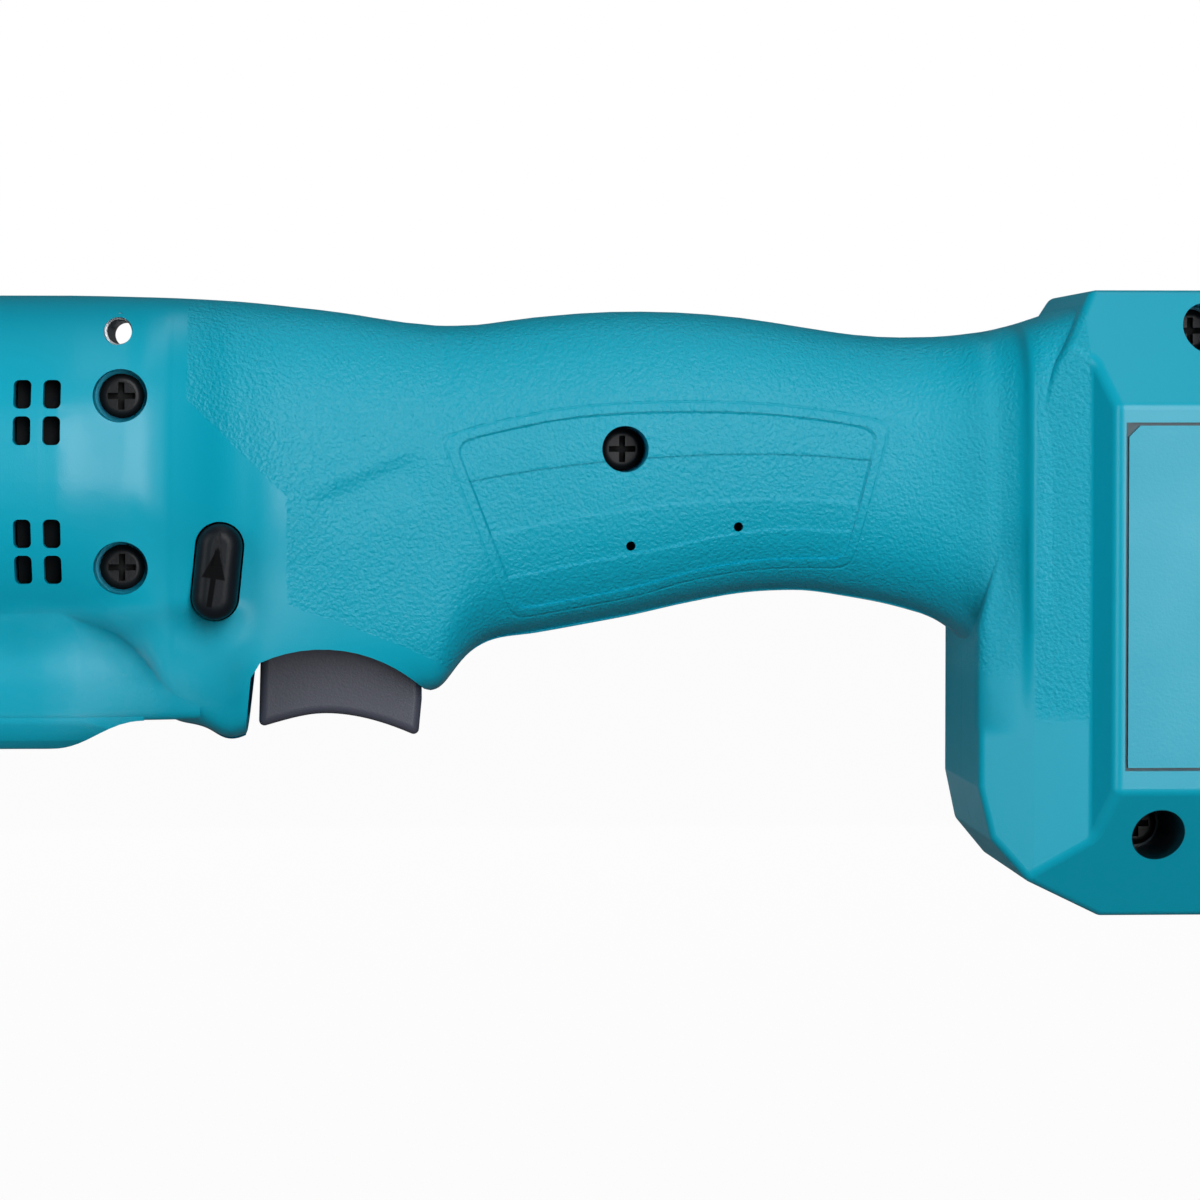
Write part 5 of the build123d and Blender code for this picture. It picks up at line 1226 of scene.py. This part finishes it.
@dataclass
class AngleHead(SubAssembly):
    """The right-angle head with its bevel gears and square drive."""

    nodes: tuple[str, ...] = (
        "union_nut", "head_housing", "head_bearings", "bearing_retainer", "top_bush", "bevel_pinion", "bevel_wheel",
        "output_spindle", "detent_pin",
    )


@dataclass(frozen=True)
class GaugePiece:
    """A rounded block on the battery's back, with its middle sunk or raised inside a rim."""

    name: str
    slot: str
    y: float
    size: Point
    corner: float
    corner_faces: int
    rim: float
    rise: float
    soft: float
    count: int = 1


@dataclass
class Battery(SubAssembly):
    """The battery pack, with finger ribs on its sides and a charge gauge on its back."""

    nodes: tuple[str, ...] = (
        "battery_case_front", "battery_case_rear", "battery_cells", "cell_holder", "battery_board", "battery_clips",
        "latch_button", "latch_spring",
    )
    rib_size: Point = (15 * MM, 1.8 * MM, 2.2 * MM)
    rib_count: int = 7
    rib_pitch: float = 5.2 * MM
    rib_x: float = 419.5 * MM
    rib_foot: float = 0.5 * MM
    rib_stand: float = 0.7 * MM
    rib_corner: float = 0.6 * MM
    rib_corner_faces: int = 3
    rib_soft: float = 0.15 * MM
    gauge_z: float = 44 * MM
    gauge_stand: float = 0.9 * MM
    gauge_depth: float = 2.0 * MM
    gauge: tuple[GaugePiece, ...] = (
        GaugePiece("gauge_bezel", "black_plastic", 0.0, (2 * MM, 40 * MM, 13 * MM), 6 * MM, 8, 1.3 * MM, -0.6 * MM,
                   0.2 * MM),
        GaugePiece("gauge_button", "trigger_grey", -12 * MM, (2 * MM, 7 * MM, 7 * MM), 3.4 * MM, 8, 1.1 * MM,
                   -0.25 * MM, 0.2 * MM),
        GaugePiece("gauge_lamps", "holder_grey", -3 * MM, (1.4 * MM, 2.6 * MM, 4.6 * MM), 1.2 * MM, 6, 0.4 * MM,
                   0.12 * MM, 0.1 * MM, 4),
    )
    lamp_pitch: float = 5 * MM
    facing_back: float = 0.9
    spring: Spring = Spring(
        "latch_spring", "latch_coil", "battery", "latch_press", (1, 0, 0), 3.6 * MM, 2.4 * MM, 0.35 * MM, 3
    )

    def build(self) -> None:
        """Makes the latch's spring, the ribs and the gauge."""
        self.wind(self.spring, "spring_steel")
        low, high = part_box("battery_case_rear")
        for side in Side:
            self.build_ribs(side, high[1] if side is Side.RIGHT else low[1])
        for piece in self.gauge:
            self.build_gauge(piece, high[0])

    def build_ribs(self, side: Side, skin: float) -> None:
        """Makes the finger ribs of one side.

        Args:
            side: Which side they are on.
            skin: Where the case's side is.
        """
        out = side.value
        middle = (self.rib_x, skin - out * (self.rib_size[1] / 2 - self.rib_stand), self.rib_foot)
        ribs = Modelling(f"battery_ribs_{side.name.lower()}", middle, self.rib_size)
        ribs.round_corners(lambda a, b: (a.y - skin) * out > 0 and (b.y - skin) * out > 0, self.rib_corner,
                           self.rib_corner_faces)
        ribs.repeat(self.rib_count, (0, 0, self.rib_pitch))
        ribs.soften(self.rib_soft)
        self.place(ribs, "battery", "black_plastic")

    def build_gauge(self, piece: GaugePiece, skin: float) -> None:
        """Makes the gauge's bezel, its button or its lamps.

        Args:
            piece: Which piece.
            skin: Where the case's back is.
        """
        middle = (skin + self.gauge_stand - self.gauge_depth / 2, piece.y, self.gauge_z)
        block = Modelling(piece.name, middle, piece.size)
        block.round_corners(lambda a, b: abs(a.x - b.x) > LEVEL, piece.corner, piece.corner_faces)
        block.sink(lambda _, normal: normal.x > self.facing_back, piece.rim, (piece.rise, 0, 0))
        if piece.count > 1:
            block.repeat(piece.count, (0, self.lamp_pitch, 0))
        block.soften(piece.soft)
        self.place(block, "battery", piece.slot)


@dataclass(frozen=True)
class SoftBox:
    """A rectangular light that faces the tool.

    It is turned to the right of straight in front and lifted above level, in degrees, and its power is in watts.
    """

    name: str
    turn: float
    lift: float
    away: float
    width: float
    height: float
    power: float
    diffuse: bool = True
    glossy: bool = True

    def hang(self, aim: Point) -> None:
        """Hangs the light.

        Args:
            aim: The point that it faces.
        """
        lamp = bpy.data.lights.new(self.name, "AREA")
        lamp.shape = "RECTANGLE"
        lamp.size, lamp.size_y = self.width, self.height
        lamp.energy = self.power
        turn, lift = math.radians(self.turn), math.radians(self.lift)
        level = math.cos(lift) * self.away
        offset = Vector((math.sin(turn) * level, -math.cos(turn) * level, math.sin(lift) * self.away))
        holder = bpy.data.objects.new(self.name, lamp)
        holder.location = Vector(aim) + offset
        holder.rotation_euler = (-offset).to_track_quat("-Z", "Y").to_euler()
        holder.visible_diffuse, holder.visible_glossy = self.diffuse, self.glossy
        bpy.context.scene.collection.objects.link(holder)


@dataclass
class Studio:
    """White floor, soft lights and the camera of the photograph."""

    floor_size: float = 12.0
    # Room under the tool for the battery to slide out
    floor_gap: float = 0.105
    floor_seen: float = 0.97
    floor_shade: Colour = (0.2, 0.2, 0.2)
    air_shade: Colour = (0.95, 0.98, 1.0)
    white: Colour = (1.0, 1.0, 1.0)
    fill: float = 0.05
    lights: tuple[SoftBox, ...] = (
        SoftBox("left_light", -47, 10, 1.25, 0.45, 1.1, 5.0),
        SoftBox("right_light", 13, 15, 1.35, 0.5, 1.5, 15.0),
        SoftBox("high_light", 90, 81, 1.36, 1.3, 0.25, 1.6, diffuse=False),
        SoftBox("top_light", 0, 80, 1.3, 1.2, 1.2, 0.6),
        SoftBox("back_light", 180, 10, 1.4, 1.4, 0.8, 10.0, glossy=False),
    )
    eye: Point = (225 * MM, -750 * MM, AXIS_Z + 8.25 * MM)
    aim: Point = (265 * MM, 0.0, AXIS_Z - 20 * MM)
    frame_width: float = 200 * MM
    sensor: float = 36.0
    clip: Spot = (0.01, 60.0)

    def build(self, lowest: float) -> None:
        """Makes the stage.

        Args:
            lowest: Height of the tool's lowest point.
        """
        self.lay_floor(lowest - self.floor_gap)
        self.paint_air()
        for light in self.lights:
            light.hang(self.aim)
        self.set_camera()

    def mix_for_camera(self, bench: NodeBench, hidden: Socket, seen: Socket, share: float) -> Socket:
        """Mixes in a second shader where the camera looks straight at it.

        Args:
            bench: The bench of the floor or the air.
            hidden: Shader for all other light.
            seen: Shader for the camera.
            share: How much of it the camera sees.

        Returns:
            The mixed shader's socket.
        """
        path = bench.add("LightPath")
        mix = bench.add("MixShader")
        bench.join(bench.times(path.outputs["Is Camera Ray"], share), mix.inputs[0])
        bench.join(hidden, mix.inputs[1])
        bench.join(seen, mix.inputs[2])
        return mix.outputs[0]

    def lay_floor(self, height: float) -> None:
        """Lays the white floor.

        Args:
            height: Height of the floor.
        """
        deselect()
        bpy.ops.mesh.primitive_plane_add(size=self.floor_size, location=(0, 0, height))
        floor = bpy.context.object
        floor.name = "studio_floor"
        material = bpy.data.materials.new("studio_white")
        material.use_nodes = True
        material.node_tree.nodes.clear()
        bench = NodeBench(material.node_tree)
        matt = bench.feed(bench.add("BsdfDiffuse"), Color=self.floor_shade)
        lit = bench.feed(bench.add("Emission"), Strength=1.0)
        output = bench.add("OutputMaterial")
        bench.feed(output, Surface=self.mix_for_camera(bench, matt.outputs[0], lit.outputs[0], self.floor_seen))
        floor.data.materials.append(material)
        floor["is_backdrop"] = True

    def paint_air(self) -> None:
        """Makes the air white to look at, with only a little light from it."""
        world = bpy.data.worlds.new("studio_air")
        world.use_nodes = True
        world.node_tree.nodes.clear()
        bpy.context.scene.world = world
        bench = NodeBench(world.node_tree)
        felt = bench.feed(bench.add("Background"), Color=self.air_shade, Strength=self.fill)
        seen = bench.feed(bench.add("Background"), Color=self.white, Strength=1.0)
        output = bench.add("OutputWorld")
        bench.feed(output, Surface=self.mix_for_camera(bench, felt.outputs[0], seen.outputs[0], 1.0))

    def set_camera(self) -> None:
        """Sets the camera where the photograph was taken from."""
        camera = bpy.data.cameras.new("photo_camera")
        camera.sensor_width = self.sensor
        sight = Vector(self.aim) - Vector(self.eye)
        camera.lens = self.sensor * sight.length / self.frame_width
        camera.clip_start, camera.clip_end = self.clip
        holder = bpy.data.objects.new("photo_camera", camera)
        holder.location = self.eye
        holder.rotation_euler = sight.to_track_quat("-Z", "Y").to_euler()
        bpy.context.scene.collection.objects.link(holder)
        bpy.context.scene.camera = holder
        bpy.context.scene.view_settings.view_transform = "Standard"


def main() -> None:
    """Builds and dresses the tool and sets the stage."""
    logging.basicConfig(level=logging.INFO, format="%(name)s: %(message)s")
    solid_box = [list(corner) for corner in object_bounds()]
    finishes = Finishes()
    for kind in (Housing, Controls, Motor, GearTrain, AngleHead, Battery):
        group = kind(finishes)
        group.build()
        group.dress()
    Studio().build(solid_box[0][2])


if __name__ == "__main__":
    main()
